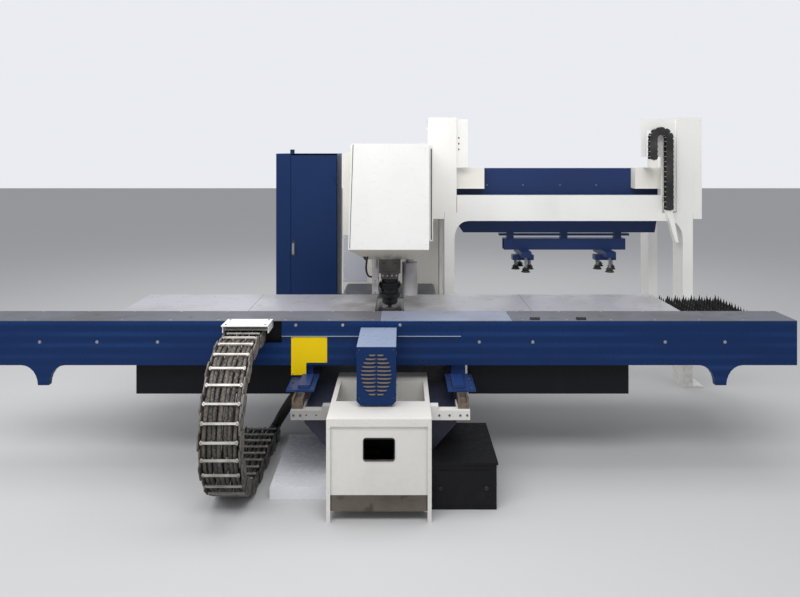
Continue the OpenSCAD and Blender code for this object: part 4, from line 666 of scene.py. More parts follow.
frame_dark = painted("frame_dark", chip(13, 15, 22), chip(36, 34, 34), 0.4, 0.2, 0.5, 0.08, 0.0, 0.2)
finish_node(frame_dark, "guide_frame")
cover_blue = painted("cover_blue", chip(19, 46, 92), chip(44, 54, 80), 0.12, 0.04, 0.3, 0.04, 0.0, 0.14)
blue_with_painted_sheen = copy_of(cover_blue, "blue_with_painted_sheen")


def painted_sheen_bands(tree, x, y, z):
    """Painted sheen: soft lighter bands along the cover, where the long sheet is a little hollow and catches
    light. Their strength goes with the sine of the height, 14 bands to a metre."""
    wave = maths(tree, "SINE", times(tree, z, 88.0))
    patchy = spread(tree, grain(tree, 1.1, 3, (1, 1, 6)), 0.4, 0.65, 0.15, 1.0)
    return times(tree, spread(tree, wave, -0.2, 1.0, 0.0, 0.3), patchy)


tint_where(blue_with_painted_sheen, painted_sheen_bands, chip(42, 78, 140))
finish_node(blue_with_painted_sheen, "guide_cover")
plate_top, latch_low = 0.96, 0.9603
top_plate_steel = metal("top_plate_steel", chip(106, 108, 118), chip(84, 79, 74), 0.6, 0.42, 0.5, 0.35)
latched_steel = copy_of(top_plate_steel, "latched_steel")
tint_where(latched_steel, lambda tree, x, y, z: maths(tree, "GREATER_THAN", z, latch_low), chip(20, 20, 22))
finish_node(latched_steel, "top_plates")
top_plate_bright = metal("top_plate_bright", chip(150, 158, 178), chip(104, 100, 98), 0.5, 0.38, 0.5, 0.35)
finish_node(top_plate_bright, "top_plate_middle")
yellow_enamel = painted("yellow_enamel", chip(252, 214, 4), chip(140, 108, 30), 0.2, 0.0, 0.35, 0.03, 0.0,
                        0.2)
finish_node(yellow_enamel, "notice_plate")
# Pale bluish steel for the painted highlight under the centre panel.
painted_highlight_steel = metal("painted_highlight_steel", chip(176, 188, 210), chip(96, 100, 110), 0.3, 0.3, 0.4, 0.6)

guide_half, cover_y, panel_t = 2.65, -0.725, 0.006
panel_front, cover_screw_z, panel_screw_z = cover_y - panel_t, 0.824, 0.933
shares = np.array([-0.825, -0.687, -0.541, 0.234, 0.363, 0.682, 0.826])
cover_places = spots(shares * guide_half, cover_y, cover_screw_z)
panel_places = spots((-0.55, -0.25, 0.114), panel_front, panel_screw_z)
cover_heads = joined(cap_screws(0.0075, cover_places, to_front), cap_screws(0.008, panel_places, to_front))
screw_piece = new_piece("cover_cap_screws", cover_heads, ground_steel, "guide")
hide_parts("cover_screws")
washer = lathed([(0, 0), (0.0105, 0), (0.0105, 0.0009), (0.0095, 0.0014), (0, 0.0014)], 24)
new_piece("cover_washers", placed(washer, np.concatenate([cover_places, panel_places]), to_front),
          zinc_steel, "guide")

# Painted highlight: a thin bright strip under the centre panel, where the edge below it catches light, broken
# by the motor cover.
panel_low, lip_tall, lip_deep = 0.8625, 0.005, 0.003
highlight_strips = [placed(flat_plate(right - left, lip_tall, 0.002, lip_deep, 0.001),
               ((left + right) / 2, panel_front, panel_low), to_front)
        for left, right in ((-0.64, -0.14), (0.098, 0.504))]
new_piece("panel_highlight_strips", joined(*highlight_strips), painted_highlight_steel, "guide")

screw_rows = (-0.705, -0.495)
sunk_screw = lathed([(0, 0), (0.0075, 0), (0.0075, 0.0006), (0.0065, 0.001), (0.0032, 0.001),
                     (0.0026, 0.0002), (0, 0.0002)], 18)
sunk_xs = np.concatenate([np.linspace(-2.6, -1.05, 6), np.linspace(-0.62, -0.06, 3),
                          np.linspace(0.9, 2.6, 7)])
outer_places = spots(sunk_xs, screw_rows, plate_top)
middle_places = spots((0.05, 0.4, 0.78), screw_rows, plate_top + 0.0005)
new_piece("plate_screws", placed(sunk_screw, np.concatenate([outer_places, middle_places])),
          zinc_steel, "guide")
yellow_y = -0.728
rivet = lathed([(0, 0), (0.004, 0), (0.0035, 0.001), (0.002, 0.0018), (0, 0.002)], 12)
rivet_places = [(-0.572, yellow_y, 0.851), (-0.359, yellow_y, 0.851), (-0.572, yellow_y, 0.622),
                (-0.492, yellow_y, 0.622), (-0.359, yellow_y, 0.701)]
new_piece("yellow_rivets", placed(rivet, rivet_places, to_front), zinc_steel, "guide")


# Motor cover with the motor and the fan behind its vent.
# Folded blue sheet like the guide's cover, with beige louvres over the slots and a brown-grey
# finger guard behind them. The fan is black moulded plastic, and the motor has the same black.
hood_blue_with_painted_light = copy_of(cover_blue, "hood_blue_with_painted_light")
finish_node(hood_blue_with_painted_light, "motor_cover")
black_plastic = plastic("black_plastic", chip(34, 34, 36), grey_dust, 0.35, 0.45)
finish_node(black_plastic, "drive_motor", "cooling_fan")
vent_beige = painted("vent_beige", chip(112, 104, 96), chip(60, 52, 46), 0.5, 0.0, 0.5, 0.05, 0.0, 0.3)
guard_steel = metal("guard_steel", chip(128, 118, 108), chip(74, 64, 54), 0.8, 0.45, 0.2, 0.6, 0.1)

motor_x, motor_front, motor_low, motor_tall, motor_wide = -0.021, -1.138, 0.582, 0.336, 0.227
motor_top = motor_low + motor_tall
# Painted light: the top face of the motor cover is a paler blue-grey, lit from above.
tint_where(hood_blue_with_painted_light, lambda tree, x, y, z: maths(tree, "GREATER_THAN", z, motor_top - 0.001),
           chip(136, 148, 172))

# The vent is an oval of rows. Each is as long as the oval is wide there, and a bridge parts its halves.
vent_z = motor_low + 0.51 * motor_tall
vent_half_x, vent_half_z, vent_rows, row_margin, bridge, shortest_row = 0.088, 0.135, 11, 0.006, 0.004, 0.014
row_pitch = 2 * vent_half_z / (vent_rows + 1)
rows = (np.arange(vent_rows) - (vent_rows - 1) / 2) * row_pitch
row_half = vent_half_x * np.sqrt(1 - ((np.abs(rows) + row_margin) / vent_half_z) ** 2)
lip_reach, lip_rise, lip_wall, lip_steps = 0.0065, 0.0055, 0.0011, 9
lip_turn = np.linspace(0.25, 2.6, 7)
lip_share = np.linspace(0, 1, lip_steps)


def louvre(side, height, width):
    """Pressed lip over half a row: its section is an arc, and its reach swells from both ends with the
    root of a sine."""
    swell = np.sqrt(np.clip(np.sin(lip_share * pi), 0, 1))[:, None]
    outward = lip_reach * np.sin(lip_turn)[None] * swell
    upward = lip_rise * (1 - np.cos(lip_turn))[None] * (0.55 + 0.45 * swell)
    across = np.broadcast_to((side * (bridge + lip_share * width))[:, None], outward.shape)
    shell = np.stack([across, -outward, 0.011 - upward], -1)
    inner = shell * np.array([1, 0.8, 1]) + np.array([0, lip_wall, -0.0002])
    loop = np.concatenate([shell, inner[:, ::-1]], 1)
    loop += np.array([motor_x, motor_front, vent_z + height - 0.003])
    return loop.reshape(-1, 3), skin_faces(lip_steps, 2 * len(lip_turn))


louvres = [louvre(side, height, half - bridge) for side in (-1, 1) for height, half in zip(rows, row_half)
           if half - bridge >= shortest_row]
new_piece("louvres", joined(*louvres), vent_beige, "guide")

ring_y, bar_y, wire_t = -1.13, -1.1285, 0.002
oval_turn = np.arange(48) * 2 * pi / 48
oval = np.column_stack([np.cos(oval_turn), np.sin(oval_turn)]) * np.array([0.093, 0.139])
rings = [bezel(share * oval, (share - 0.075) * oval, wire_t, 0.0004) for share in np.linspace(0.12, 1, 9)]
bars = [flat_plate(0.18, 0.007, wire_t, wire_t, 0.0004), flat_plate(0.007, 0.27, wire_t, wire_t, 0.0004)]
guard = [placed(ring, (motor_x, ring_y, vent_z), to_front) for ring in rings]
guard += [placed(bar, (motor_x, bar_y, vent_z), to_front) for bar in bars]
new_piece("vent_guard", joined(*guard), guard_steel, "guide")

hood_ys, hood_zs = (-1.11, -0.95, -0.76), (motor_low + 0.05, motor_low + 0.29)
hood_sides = [cap_screws(0.0045, spots(motor_x + side * motor_wide / 2, hood_ys, hood_zs), turn)
              for side, turn in ((-1, to_left), (1, to_right))]
hood_front = spots((motor_x - 0.098, motor_x + 0.098), motor_front, (motor_low + 0.04, motor_top - 0.018))
new_piece("motor_screws", joined(*hood_sides, cap_screws(0.0035, hood_front, to_front)),
          dark_zinc, "guide")


# Sheet tables and the brush table with its strips.
# Folded stainless sheet, polished in long strokes by the sheets that slide over it and held by
# sunk screws, and rows of black nylon tufts in black moulded feet.
table_steel = metal("table_steel", chip(204, 204, 210), chip(140, 132, 122), 0.45, 0.34, 0.8, 0.45, 0.03)
oiled_half_x, oiled_half_y, oiled_core = 0.62, 0.55, 0.1


def round_die(tree, x, y, z):
    """Brown oil film round the die: patches that thin out to both sides, to the front and to the back."""
    aside = maths(tree, "ABSOLUTE", maths(tree, "SUBTRACT", x, punch_x))
    along = maths(tree, "ABSOLUTE", y)
    patchy = spread(tree, grain(tree, 5.0, 7), 0.38, 0.62, 0.1, 0.75)
    return times(tree, spread(tree, aside, oiled_half_x, oiled_core),
                 spread(tree, along, oiled_half_y, oiled_core), patchy)


tint_where(table_steel, round_die, chip(104, 94, 84))
finish_node(table_steel, "table_left", "table_right", "brush_table")
bristle_black = plastic("bristle_black", chip(15, 15, 16), chip(70, 66, 62), 0.25, 0.6)

table_top, rib_ys = 0.88, (-0.44, -0.2, 0.3)
table_xs = np.concatenate([np.linspace(-1.86, -0.12, 8), np.linspace(0.19, 2.1, 9)])
new_piece("table_screws", placed(sunk_screw, spots(table_xs, rib_ys, table_top)),
          zinc_steel, "guide")
joint_xs, joint_y = (-0.99, 1.07), -0.042
joint_line = flat_plate(0.0025, 0.855, 0.001, 0.0004, 0.0001)
new_piece("table_joints", placed(joint_line, spots(joint_xs, joint_y, table_top)),
          dark_seam_and_painted_shade, "guide")

strip_first, strip_step, strips, strip_ends, foot_z, foot_h = 2.174, 0.064, 8, (-0.461, 0.32), 0.838, 0.014
strip_xs = strip_first + strip_step * np.arange(strips)
strip_mid, strip_l, root_z = sum(strip_ends) / 2, strip_ends[1] - strip_ends[0], foot_z + foot_h
feet = placed(flat_plate(0.018, strip_l, 0.003, foot_h, 0.0015), spots(strip_xs, strip_mid, foot_z))
roots = placed(flat_plate(0.012, strip_l - 0.004, 0.003, 0.01, 0.003), spots(strip_xs, strip_mid, root_z))

# Each tuft is a bunch of bent hairs of three sides: its hairs stand close at the tip and spread at the
# root, they are shorter towards the tuft's front and back, and every tuft leans a little its own way.
tufts, hairs, tip_z = 18, 40, 0.898
tuft_half_x, tuft_half_y, bend = 0.005, 0.0195, 0.0012
chance = np.random.default_rng(7)
tuft_y = strip_ends[0] + (np.arange(tufts) + 0.5) * strip_l / tufts
grid_x, grid_y = (side.reshape(-1) for side in np.meshgrid(strip_xs, tuft_y, indexing="ij"))
lean = chance.normal(0, 1, (len(grid_x), 2)) * np.array([0.002, 0.003])
spot = chance.uniform(-1, 1, (len(grid_x), hairs, 2))
base = np.stack([grid_x[:, None] + tuft_half_x * spot[..., 0], grid_y[:, None] + tuft_half_y * spot[..., 1],
                 np.full((len(grid_x), hairs), root_z)], -1)
tall = tip_z - foot_h - foot_z - 0.024 * np.abs(spot[..., 1]) - chance.uniform(0, 0.004, spot.shape[:2])
tip = np.stack([grid_x[:, None] + 0.3 * tuft_half_x * spot[..., 0] + lean[:, :1],
                grid_y[:, None] + 0.25 * tuft_half_y * spot[..., 1] + lean[:, 1:], base[..., 2] + tall], -1)
level = np.array([0, 0.55, 1])[:, None, None, None]
spine = base + (tip - base) * level + np.array([1, 0, 0]) * bend * np.sin(level * pi) * spot[None, ..., :1]
ring_turn = np.arange(3) * 2 * pi / 3
ring = np.column_stack([np.cos(ring_turn), np.sin(ring_turn), 0 * ring_turn])
thick = np.array([0.0013, 0.0011, 0.0005])[:, None, None, None, None]
hair_points = (spine[..., None, :] + thick * ring).transpose(1, 2, 0, 3, 4).reshape(-1, 9, 3)
hair_starts = 9 * np.arange(len(hair_points))[:, None, None]
hair = hair_points.reshape(-1, 3), (skin_faces(3, 3)[None] + hair_starts).reshape(-1, 4)
brush_piece = new_piece("brush_tufts", joined(feet, roots, hair), bristle_black, "guide")
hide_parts("brush_strips")


# Tool magazine: rail, clamps, jaws, cassettes and the stored tools.
# Ground steel rail with blackened clamps and cassettes and bright tools, all thinly oiled. Cap
# screws hold the rail, the clamps and the cassettes.
rail_steel = metal("rail_steel", chip(150, 154, 160), chip(66, 62, 58), 0.5, 0.3, 0.6, 0.85, 0.05)
finish_node(rail_steel, "magazine_rail", "clamp_jaw_left", "clamp_jaw_middle", "clamp_jaw_right")
finish_node(dark_iron, "clamp_bodies", "cassettes")
finish_node(ground_steel, "stored_tools")

rail_top, clamp_top, cassette_top = 0.9425, 0.932, 0.914
clamp_xs, clamp_half, cassette_gap, cassette_pitch = (-0.85, 0.0, 0.85), 0.04, 0.07, 0.12
cassette_xs = [side * (clamp_half + cassette_gap + cassette_pitch * i) for side in (-1, 1) for i in range(5)]
rail_heads = cap_screws(0.008, spots(np.linspace(-1.1, 1.1, 12), (-0.607, -0.508), rail_top))
clamp_screw_xs = [x + dx for x in clamp_xs for dx in (-0.026, 0, 0.026)]
clamp_heads = cap_screws(0.006, spots(clamp_screw_xs, -0.474, clamp_top))
cassette_screw_xs = [x + dx for x in cassette_xs for dx in (-0.037, 0.037)]
cassette_heads = cap_screws(0.0035, spots(cassette_screw_xs, -0.478, cassette_top))
new_piece("magazine_screws", joined(rail_heads, clamp_heads, cassette_heads),
          zinc_steel, "magazine")
keyed = lathed([(0, 0), (0.011, 0), (0.0115, 0.003), (0.0095, 0.0045), (0.006, 0.0045), (0.0055, 0.001),
                (0, 0.001)], 20)
new_piece("tool_caps", placed(keyed, spots(cassette_xs, -0.441, clamp_top)),
          dark_iron, "magazine")


# Big energy chain and the white bracket on its upper end.
# Moulded side links, pinned one inside the next, with snapped-in crossbars and dividers round a bed
# of black and brown cables, all greyed by floor dust.
def bent_line(centre, radius, first_l, along, outward):
    """A straight run, half a turn about the centre and another straight run. The result takes
    distances along it and gives the places, the ways ahead and the ways outward. Past the start of
    the turn by angle a, ahead is cos a along - sin a outward, and outward is sin a along + cos a outward."""
    centre, along, outward = (np.array(way, float) for way in (centre, along, outward))

    def at(distances):
        distances = np.atleast_1d(distances)
        inside = np.clip(distances, first_l, first_l + pi * radius)
        angle = ((inside - first_l) / radius)[:, None]
        ahead = np.cos(angle) * along - np.sin(angle) * outward
        out = np.sin(angle) * along + np.cos(angle) * outward
        return centre + radius * out + (distances - inside)[:, None] * ahead, ahead, out

    return at


def chain_links(line, length, pitch, half_w, tall, start, end, last=0.01):
    """Side links and crossbars of the part of a chain from start to end, as two shapes. Links stand a
    pitch apart over the whole length, but none in its last bit, and every other one has its side plates
    inside its neighbours'."""
    middles = np.arange(pitch / 2, length - last, pitch)
    here = (middles >= start) & (middles < end)
    odd = (np.arange(len(middles)) % 2 == 1)[here]
    place, ahead, out = line(middles[here])
    across = np.cross(ahead, out)
    to_side = np.stack([ahead, out, across], -1)
    lying = np.stack([across, ahead, out], -1)

    plate_t = 0.06 * half_w
    plate = flat_plate(1.16 * pitch, 0.9 * tall, 0.2 * tall, plate_t, 0.15 * plate_t, 5)
    rib = flat_plate(0.7 * pitch, 0.5 * tall, 0.2 * tall, 0.3 * plate_t, 0.12 * plate_t, 3)
    pin = flat_plate(0.3 * tall, 0.3 * tall, 0.149 * tall, 0.45 * plate_t, 0.1 * plate_t, 5)
    inset = np.where(odd, plate_t * 1.08, 0)
    links = []
    for side in (-1, 1):
        reach = (half_w - plate_t - inset) if side > 0 else -(half_w - inset)
        face = reach + plate_t if side > 0 else reach - 0.3 * plate_t
        hub = (half_w - 0.1 * plate_t) * side - (0.45 * plate_t if side < 0 else 0)
        links.append(placed(plate, place + reach[:, None] * across, to_side))
        links.append(placed(rib, place + face[:, None] * across, to_side))
        links.append(placed(pin, place - 0.5 * pitch * ahead + hub * across, to_side))

    bar_l, bar_w = 2 * (half_w - 2.1 * plate_t), 0.13 * pitch
    bar = flat_plate(bar_l, bar_w, 0.04 * pitch, 0.1 * tall, 0.015 * tall, 3)
    clip = flat_plate(0.09 * half_w, 1.8 * bar_w, 0.03 * pitch, 0.12 * tall, 0.02 * tall, 3)
    divider = flat_plate(0.028 * half_w, bar_w, 0.01 * half_w, 0.76 * tall, 0.02 * tall, 2)
    bars = []
    for level in (0.39, -0.49):
        bars.append(placed(bar, place + level * tall * out, lying))
        for side in (-1, 1):
            at_clip = place + (level - 0.02) * tall * out + side * 0.46 * bar_l * across
            bars.append(placed(clip, at_clip, lying))
    for share in (-0.34, 0.3):
        bars.append(placed(divider, place - 0.38 * tall * out + share * half_w * across, lying))
    return joined(*links), joined(*bars)


def tube(path, radius, sides=12, beside=(0.13, 0.21, 0.97)):
    """Closed tube along a path. The radius is one number, or one for each place of the path."""
    path = np.array(path, float)
    along = np.gradient(path, axis=0)
    along /= np.linalg.norm(along, axis=1, keepdims=True)
    first = np.cross(along, np.array(beside))
    first /= np.linalg.norm(first, axis=1, keepdims=True)
    second = np.cross(along, first)
    turn = np.arange(sides) * 2 * pi / sides
    reach = np.broadcast_to(radius, len(path))[:, None, None]
    rings = path[:, None] + reach * (np.cos(turn)[None, :, None] * first[:, None]
                                     + np.sin(turn)[None, :, None] * second[:, None])
    ends = np.repeat(path[[0, -1]][:, None], sides, 1)
    points = np.concatenate([ends[:1], rings, ends[1:]])
    return points.reshape(-1, 3), skin_faces(len(path) + 2, sides)


def cables_along(line, distances, cables, sway=0.0, lift=0.0):
    """Tubes along a stretch of a chain, one for each cable's place across, level and radius. A cable sways
    and lifts a little, with two sines of the distance that start elsewhere for each."""
    place, ahead, out = line(distances)
    across = np.cross(ahead, out)
    tubes = []
    for number, (side, level, radius) in enumerate(cables):
        swaying = side + sway * np.sin(9 * distances + 2.1 * number)[:, None]
        lifting = level + lift * np.sin(14 * distances + 1.3 * number)[:, None]
        tubes.append(tube(place + swaying * across + lifting * out, radius, 10, across[0]))
    return tubes


chain_x, chain_half, chain_tall, chain_r, chain_pitch = -0.86, 0.12, 0.09, 0.41, 0.091
bend_y, bend_z, low_end_y, high_end_y, low_z, high_z = -0.925, 0.46, -0.26, -0.696, 0.05, 0.87
low_l, arc_l, high_l = low_end_y - bend_y, pi * chain_r, high_end_y - bend_y
chain_l = low_l + arc_l + high_l
big_chain = bent_line((chain_x, bend_y, bend_z), chain_r, low_l, (0, -1, 0), (0, 0, -1))
link_plastic = plastic("link_plastic", chip(128, 122, 116), chip(60, 56, 52), 0.9, 0.55, 0.1, 26)
bar_plastic = plastic("bar_plastic", chip(232, 228, 220), chip(150, 142, 132), 0.6, 0.42, 0.1, 20)
cable_black = plastic("cable_black", chip(48, 45, 43), chip(146, 139, 131), 0.8, 0.55, 0.1, 95)
cable_brown = plastic("cable_brown", chip(118, 110, 101), chip(38, 35, 33), 0.9, 0.55, 0.1, 80)


def in_shade(tree, x, y, z):
    """How much the floor's shade and dirt cover the chain: most on the low run behind the bend, less
    higher up, and not at all near the guide."""
    low = spread(tree, z, 0.75, 0.02, 0.0, 0.72)
    behind = times(tree, spread(tree, y, -1.12, -1.0), spread(tree, z, 0.34, 0.26, 0.0, 0.75))
    return maths(tree, "MAXIMUM", low, behind)


for material in (link_plastic, bar_plastic, cable_black, cable_brown):
    tint_where(material, in_shade, chip(24, 23, 22))
finish_node(cover_white, "chain_top_bracket")

# Each cable: its place across the chain, its level in the section, its radius, and its colour.
cables = [(-0.083, -0.015, 0.0155, "black"), (-0.049, -0.018, 0.0125, "brown"),
          (-0.017, -0.016, 0.015, "black"), (0.016, -0.019, 0.012, "black"),
          (0.048, -0.016, 0.0145, "brown"), (0.081, -0.018, 0.0125, "black"),
          (-0.087, 0.017, 0.0115, "brown"), (-0.061, 0.014, 0.0125, "black"),
          (-0.032, 0.016, 0.0115, "black"), (-0.004, 0.013, 0.0135, "brown"),
          (0.026, 0.015, 0.0115, "black"), (0.054, 0.013, 0.0135, "black"), (0.084, 0.014, 0.011, "brown")]

# The low run stays at its end and follows half the travel at the turn, which follows half of it as a
# whole. The top run goes from half of it to all of it at the bracket. Each run has its start and end
# along the chain, the place that would follow none of the travel and the place that would follow all
# of it. For the bend these two lie far off at both sides, so that it stays in the middle between them.
far = 50
runs = {"low": (0, low_l, (chain_x, low_end_y, low_z), (chain_x, low_end_y - 2 * low_l, low_z)),
        "bend": (low_l, low_l + arc_l, (chain_x - far, bend_y, bend_z), (chain_x + far, bend_y, bend_z)),
        "top": (low_l + arc_l, chain_l, (chain_x, bend_y - high_l, high_z), (chain_x, high_end_y, high_z))}
for part, (start, end, none_at, all_at) in runs.items():
    links, bars = chain_links(big_chain, chain_l, chain_pitch, chain_half, chain_tall, start, end, 0.02)
    distances = np.linspace(start, end, max(10, int((end - start) / 0.024)))
    tubes = cables_along(big_chain, distances, [cable[:3] for cable in cables], 0.004, 0.002)
    made = [new_piece(f"chain_{part}_links", links, link_plastic, None),
            new_piece(f"chain_{part}_bars", bars, bar_plastic, None)]
    for colour, material in (("black", cable_black), ("brown", cable_brown)):
        bundle = joined(*(shape for shape, cable in zip(tubes, cables) if cable[3] == colour))
        made.append(new_piece(f"chain_{part}_{colour}_cables", bundle, material, None))
    for piece in made:
        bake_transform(piece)
        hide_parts("energy_chain")

bracket_top = 0.967
bracket_places = spots((-0.965, -0.72), (-0.85, -0.735), bracket_top)
new_piece("bracket_screws", cap_screws(0.007, bracket_places), zinc_steel, "guide")


# Hoses.
# A corrugated black hose from the fixed end of the chain up to the bed's shoulder, with a ribbed
# collar at both ends, and a thin smooth one from the skirt to the gearbox beside the ram.
def flowing(points, count):
    """Places spread along a smooth curve through the points. Between points b and c, with a before and d
    after, it runs at (2b + (c - a) f + (2a - 5b + 4c - d) f^2 + (3b - a - 3c + d) f^3) / 2."""
    points = np.array(points, float)
    guard = np.vstack([2 * points[0] - points[1], points, 2 * points[-1] - points[-2]])
    at = np.linspace(0, len(points) - 1 - 1e-9, count)
    first = at.astype(int)
    f = (at - first)[:, None]
    a, b, c, d = (guard[first + k] for k in range(4))
    return (2 * b + (c - a) * f + (2 * a - 5 * b + 4 * c - d) * f ** 2 + (3 * b - a - 3 * c + d) * f ** 3) / 2


hose_route = [(-0.79, -0.2595, 0.05), (-0.79, -0.22, 0.05), (-0.78, -0.19, 0.066), (-0.758, -0.17, 0.105),
              (-0.722, -0.172, 0.165), (-0.688, -0.205, 0.222), (-0.655, -0.25, 0.276),
              (-0.622, -0.295, 0.325), (-0.585, -0.33, 0.368), (-0.545, -0.346, 0.408),
              (-0.505, -0.35, 0.44), (-0.48, -0.35, 0.448), (-0.4505, -0.35, 0.448)]
thin_route = [(-0.128, -0.17, 1.2715), (-0.128, -0.17, 1.25), (-0.134, -0.15, 1.205),
              (-0.134, -0.115, 1.165), (-0.128, -0.075, 1.132), (-0.12, -0.04, 1.112),
              (-0.108, -0.022, 1.104), (-0.0955, -0.022, 1.104)]
hose_r, rib_gap, rib_h = 0.0335, 0.0115, 0.0022
collar_l, collar_t, collar_gap, collar_rib = 0.035, 0.0045, 0.006, 0.0006
thin_r = 0.007
hose_path = flowing(hose_route, 420)
hose_run = np.concatenate([[0], np.cumsum(np.linalg.norm(np.diff(hose_path, axis=0), axis=1))])
ribbed = hose_r + rib_h * np.clip(1.6 * np.sin(2 * pi * hose_run / rib_gap), -1, 1)
at_end = (hose_run < collar_l) | (hose_run > hose_run[-1] - collar_l)
ribbed = np.where(at_end, hose_r + collar_t + collar_rib * np.sin(2 * pi * hose_run / collar_gap), ribbed)
big_hose = tube(hose_path, ribbed, 20, (0.3, 1, 0.2))
thin_hose = tube(flowing(thin_route, 60), thin_r, 12, (0.9, 0.1, 0.3))
hose_piece = new_piece("hoses", joined(big_hose, thin_hose), black_rubber, "machine", 0.9)
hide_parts("hose_bundle")


# Control cabinet: body, door, handle and the drives inside.
# Blue powder-coated sheet with a semi-gloss skin, vent grilles in its flank and its back, painted
# screws along its fixed strip, a steel swing handle, and grey modules with black ribs inside.
cabinet_blue = painted("cabinet_blue", chip(28, 50, 92), chip(50, 58, 80), 0.12, 0.15, 0.34, 0.03, 0.0, 0.14)
finish_node(cabinet_blue, "cabinet_body", "cabinet_door")
finish_node(ground_steel, "door_handle")
module_grey = plastic("module_grey", chip(148, 152, 156), grey_dust, 0.3, 0.5)
finish_node(module_grey, "drive_modules")

cabinet_left, cabinet_front, cabinet_back = -1.093, 1.426, 1.93
strip_places = spots((-1.081, -0.965), cabinet_front, (0.13, 0.6, 1.07, 1.54, 1.96))
new_piece("cabinet_screws", cap_screws(0.005, strip_places, to_front), cabinet_blue, "machine")

grille = bezel(rounded(0.22, 0.22, 0.012), rounded(0.196, 0.196, 0.006), 0.009)
slat = flat_plate(0.2, 0.011, 0.003, 0.006, 0.0015, 3)
slat_zs = np.linspace(-0.088, 0.088, 12)
level_left = to_left @ np.array([[0, -1, 0], [1, 0, 0], [0, 0, 1]])
grille_sides = ((cabinet_left, 1.62, to_left, level_left), (-0.92, cabinet_back, to_back, to_back))
grilles = []
for x, y, turn, slat_turn in grille_sides:
    for z in (0.42, 1.72):
        grilles.append(placed(grille, (x, y, z), turn))
        grilles.append(placed(slat, spots(x, y, z + slat_zs), slat_turn))
new_piece("cabinet_grilles", joined(*grilles), black_plastic, "machine")

handle_x, handle_z = -0.925, 1.095
handle_plate = flat_plate(0.034, 0.15, 0.014, 0.003, 0.001, 5)
new_piece("handle_plate", placed(handle_plate, (handle_x, cabinet_front, handle_z), to_front),
          black_plastic, "door")
module_first, module_pitch, module_front = -0.983, 0.118, 1.707
module_xs = [module_first + module_pitch * i for i in range(4)]
module_zs = [z + dz for z in (0.3, 0.82, 1.34) for dz in (0.06, 0.09, 0.12, 0.15, 0.3)]
module_rib = flat_plate(0.08, 0.012, 0.003, 0.004, 0.001, 3)
new_piece("module_ribs", placed(module_rib, spots(module_xs, module_front, module_zs), to_front),
          black_plastic, "machine")


# Loader portal: legs, side rails, beam, towers and their plates.
# Welded box sections, painted cream white, a little brighter than the C-frame, with weld beads at
# the gussets, screwed covers on the towers' flanks and dirty feet.
loader_paint = painted("loader_paint", chip(247, 246, 241), chip(158, 149, 136), 0.14, 0.4, 0.38, 0.04, 0.15)
finish_node(loader_paint, "loader_legs_front", "loader_legs_rear", "loader_beam", "loader_towers",
            "tower_plates")

tower_left, tower_right, tower_y, tower_front, tower_plate_y = 0.355, 2.71, 0.912, 0.725, 0.745
panel_z, panel_deep = 1.92, 0.003
tower_panel = flat_plate(0.7, 0.3, 0.02, panel_deep, 0.001)
panels, heads = [], []
for x, side, turn in ((tower_left, -1, to_left), (tower_right, 1, to_right)):
    panels.append(placed(tower_panel, (x, tower_y, panel_z), turn))
    dots = spots(x + side * panel_deep, (0.78, 1.045), (1.6, panel_z, 2.24))
    heads.append(cap_screws(0.007, dots, turn))
new_piece("tower_panels", joined(*panels, *heads), loader_paint, "machine")

front_dots = spots((0.372, 0.58, 2.514, 2.692), tower_front, (1.55, 1.93, 2.31))
left_dots = spots(0.68, tower_plate_y, (1.93, 2.28))
right_dots = spots(2.475, tower_plate_y, (1.56, 1.8, 2.03, 2.28))
tower_dots = np.concatenate([front_dots, left_dots, right_dots])
new_piece("tower_screws", cap_screws(0.005, tower_dots, to_front), loader_paint, "machine")
tower_slot = flat_plate(0.012, 0.016, 0.005, 0.001, 0.0004)
new_piece("tower_slots", placed(tower_slot, spots(0.618, tower_plate_y, (2.055, 2.105, 2.155)), to_front),
          dark_seam_and_painted_shade, "machine")

# Weld beads along the round gussets of the legs and across their feet. Their scales are a sine.
bead_r, gusset_y, gusset_z, gusset_wide, gusset_tall, foot_top = 0.003, 0.727, 1.289, 0.112, 0.15, 0.0165
bead_turn = np.linspace(0, pi / 2, 24)
gusset_bead = bead_r + 0.0006 * np.sin(np.arange(24) * 2.6)
foot_bead = bead_r + 0.0005 * np.sin(np.arange(18) * 2.6)
beads = []
for x, side in ((0.579, 1), (2.547, -1)):
    curve = np.column_stack([x + side * gusset_wide * (1 - np.cos(bead_turn)), np.full(24, gusset_y),
                             gusset_z + gusset_tall * np.sin(bead_turn)])
    beads.append(tube(curve, gusset_bead, 8, (0, 1, 0)))
for left, right in ((0.446, 0.492), (2.634, 2.68)):
    for y in (0.727, 0.933):
        beads.append(tube(flowing([(left, y, foot_top), (right, y, foot_top)], 18), foot_bead, 8))
new_piece("weld_beads", joined(*beads), loader_paint, "machine")


# Lift: cross beam with its apron, suction frame and cups.
# Blue painted box sections with cream end boxes, zinc cap screws on the beam and its hangers, and
# black rubber cups with folds, on steel stems with springs.
lift_blue = painted("lift_blue", chip(32, 52, 98), chip(36, 38, 50), 0.3, 0.0, 0.36, 0.05, 0.0, 0.3)
finish_node(lift_blue, "suction_frame")
end_box_back = 0.9495
capped_blue = copy_of(lift_blue, "capped_blue")
tint_where(capped_blue, lambda tree, x, y, z: maths(tree, "LESS_THAN", y, end_box_back), chip(236, 233, 225))
finish_node(capped_blue, "lift_beam")

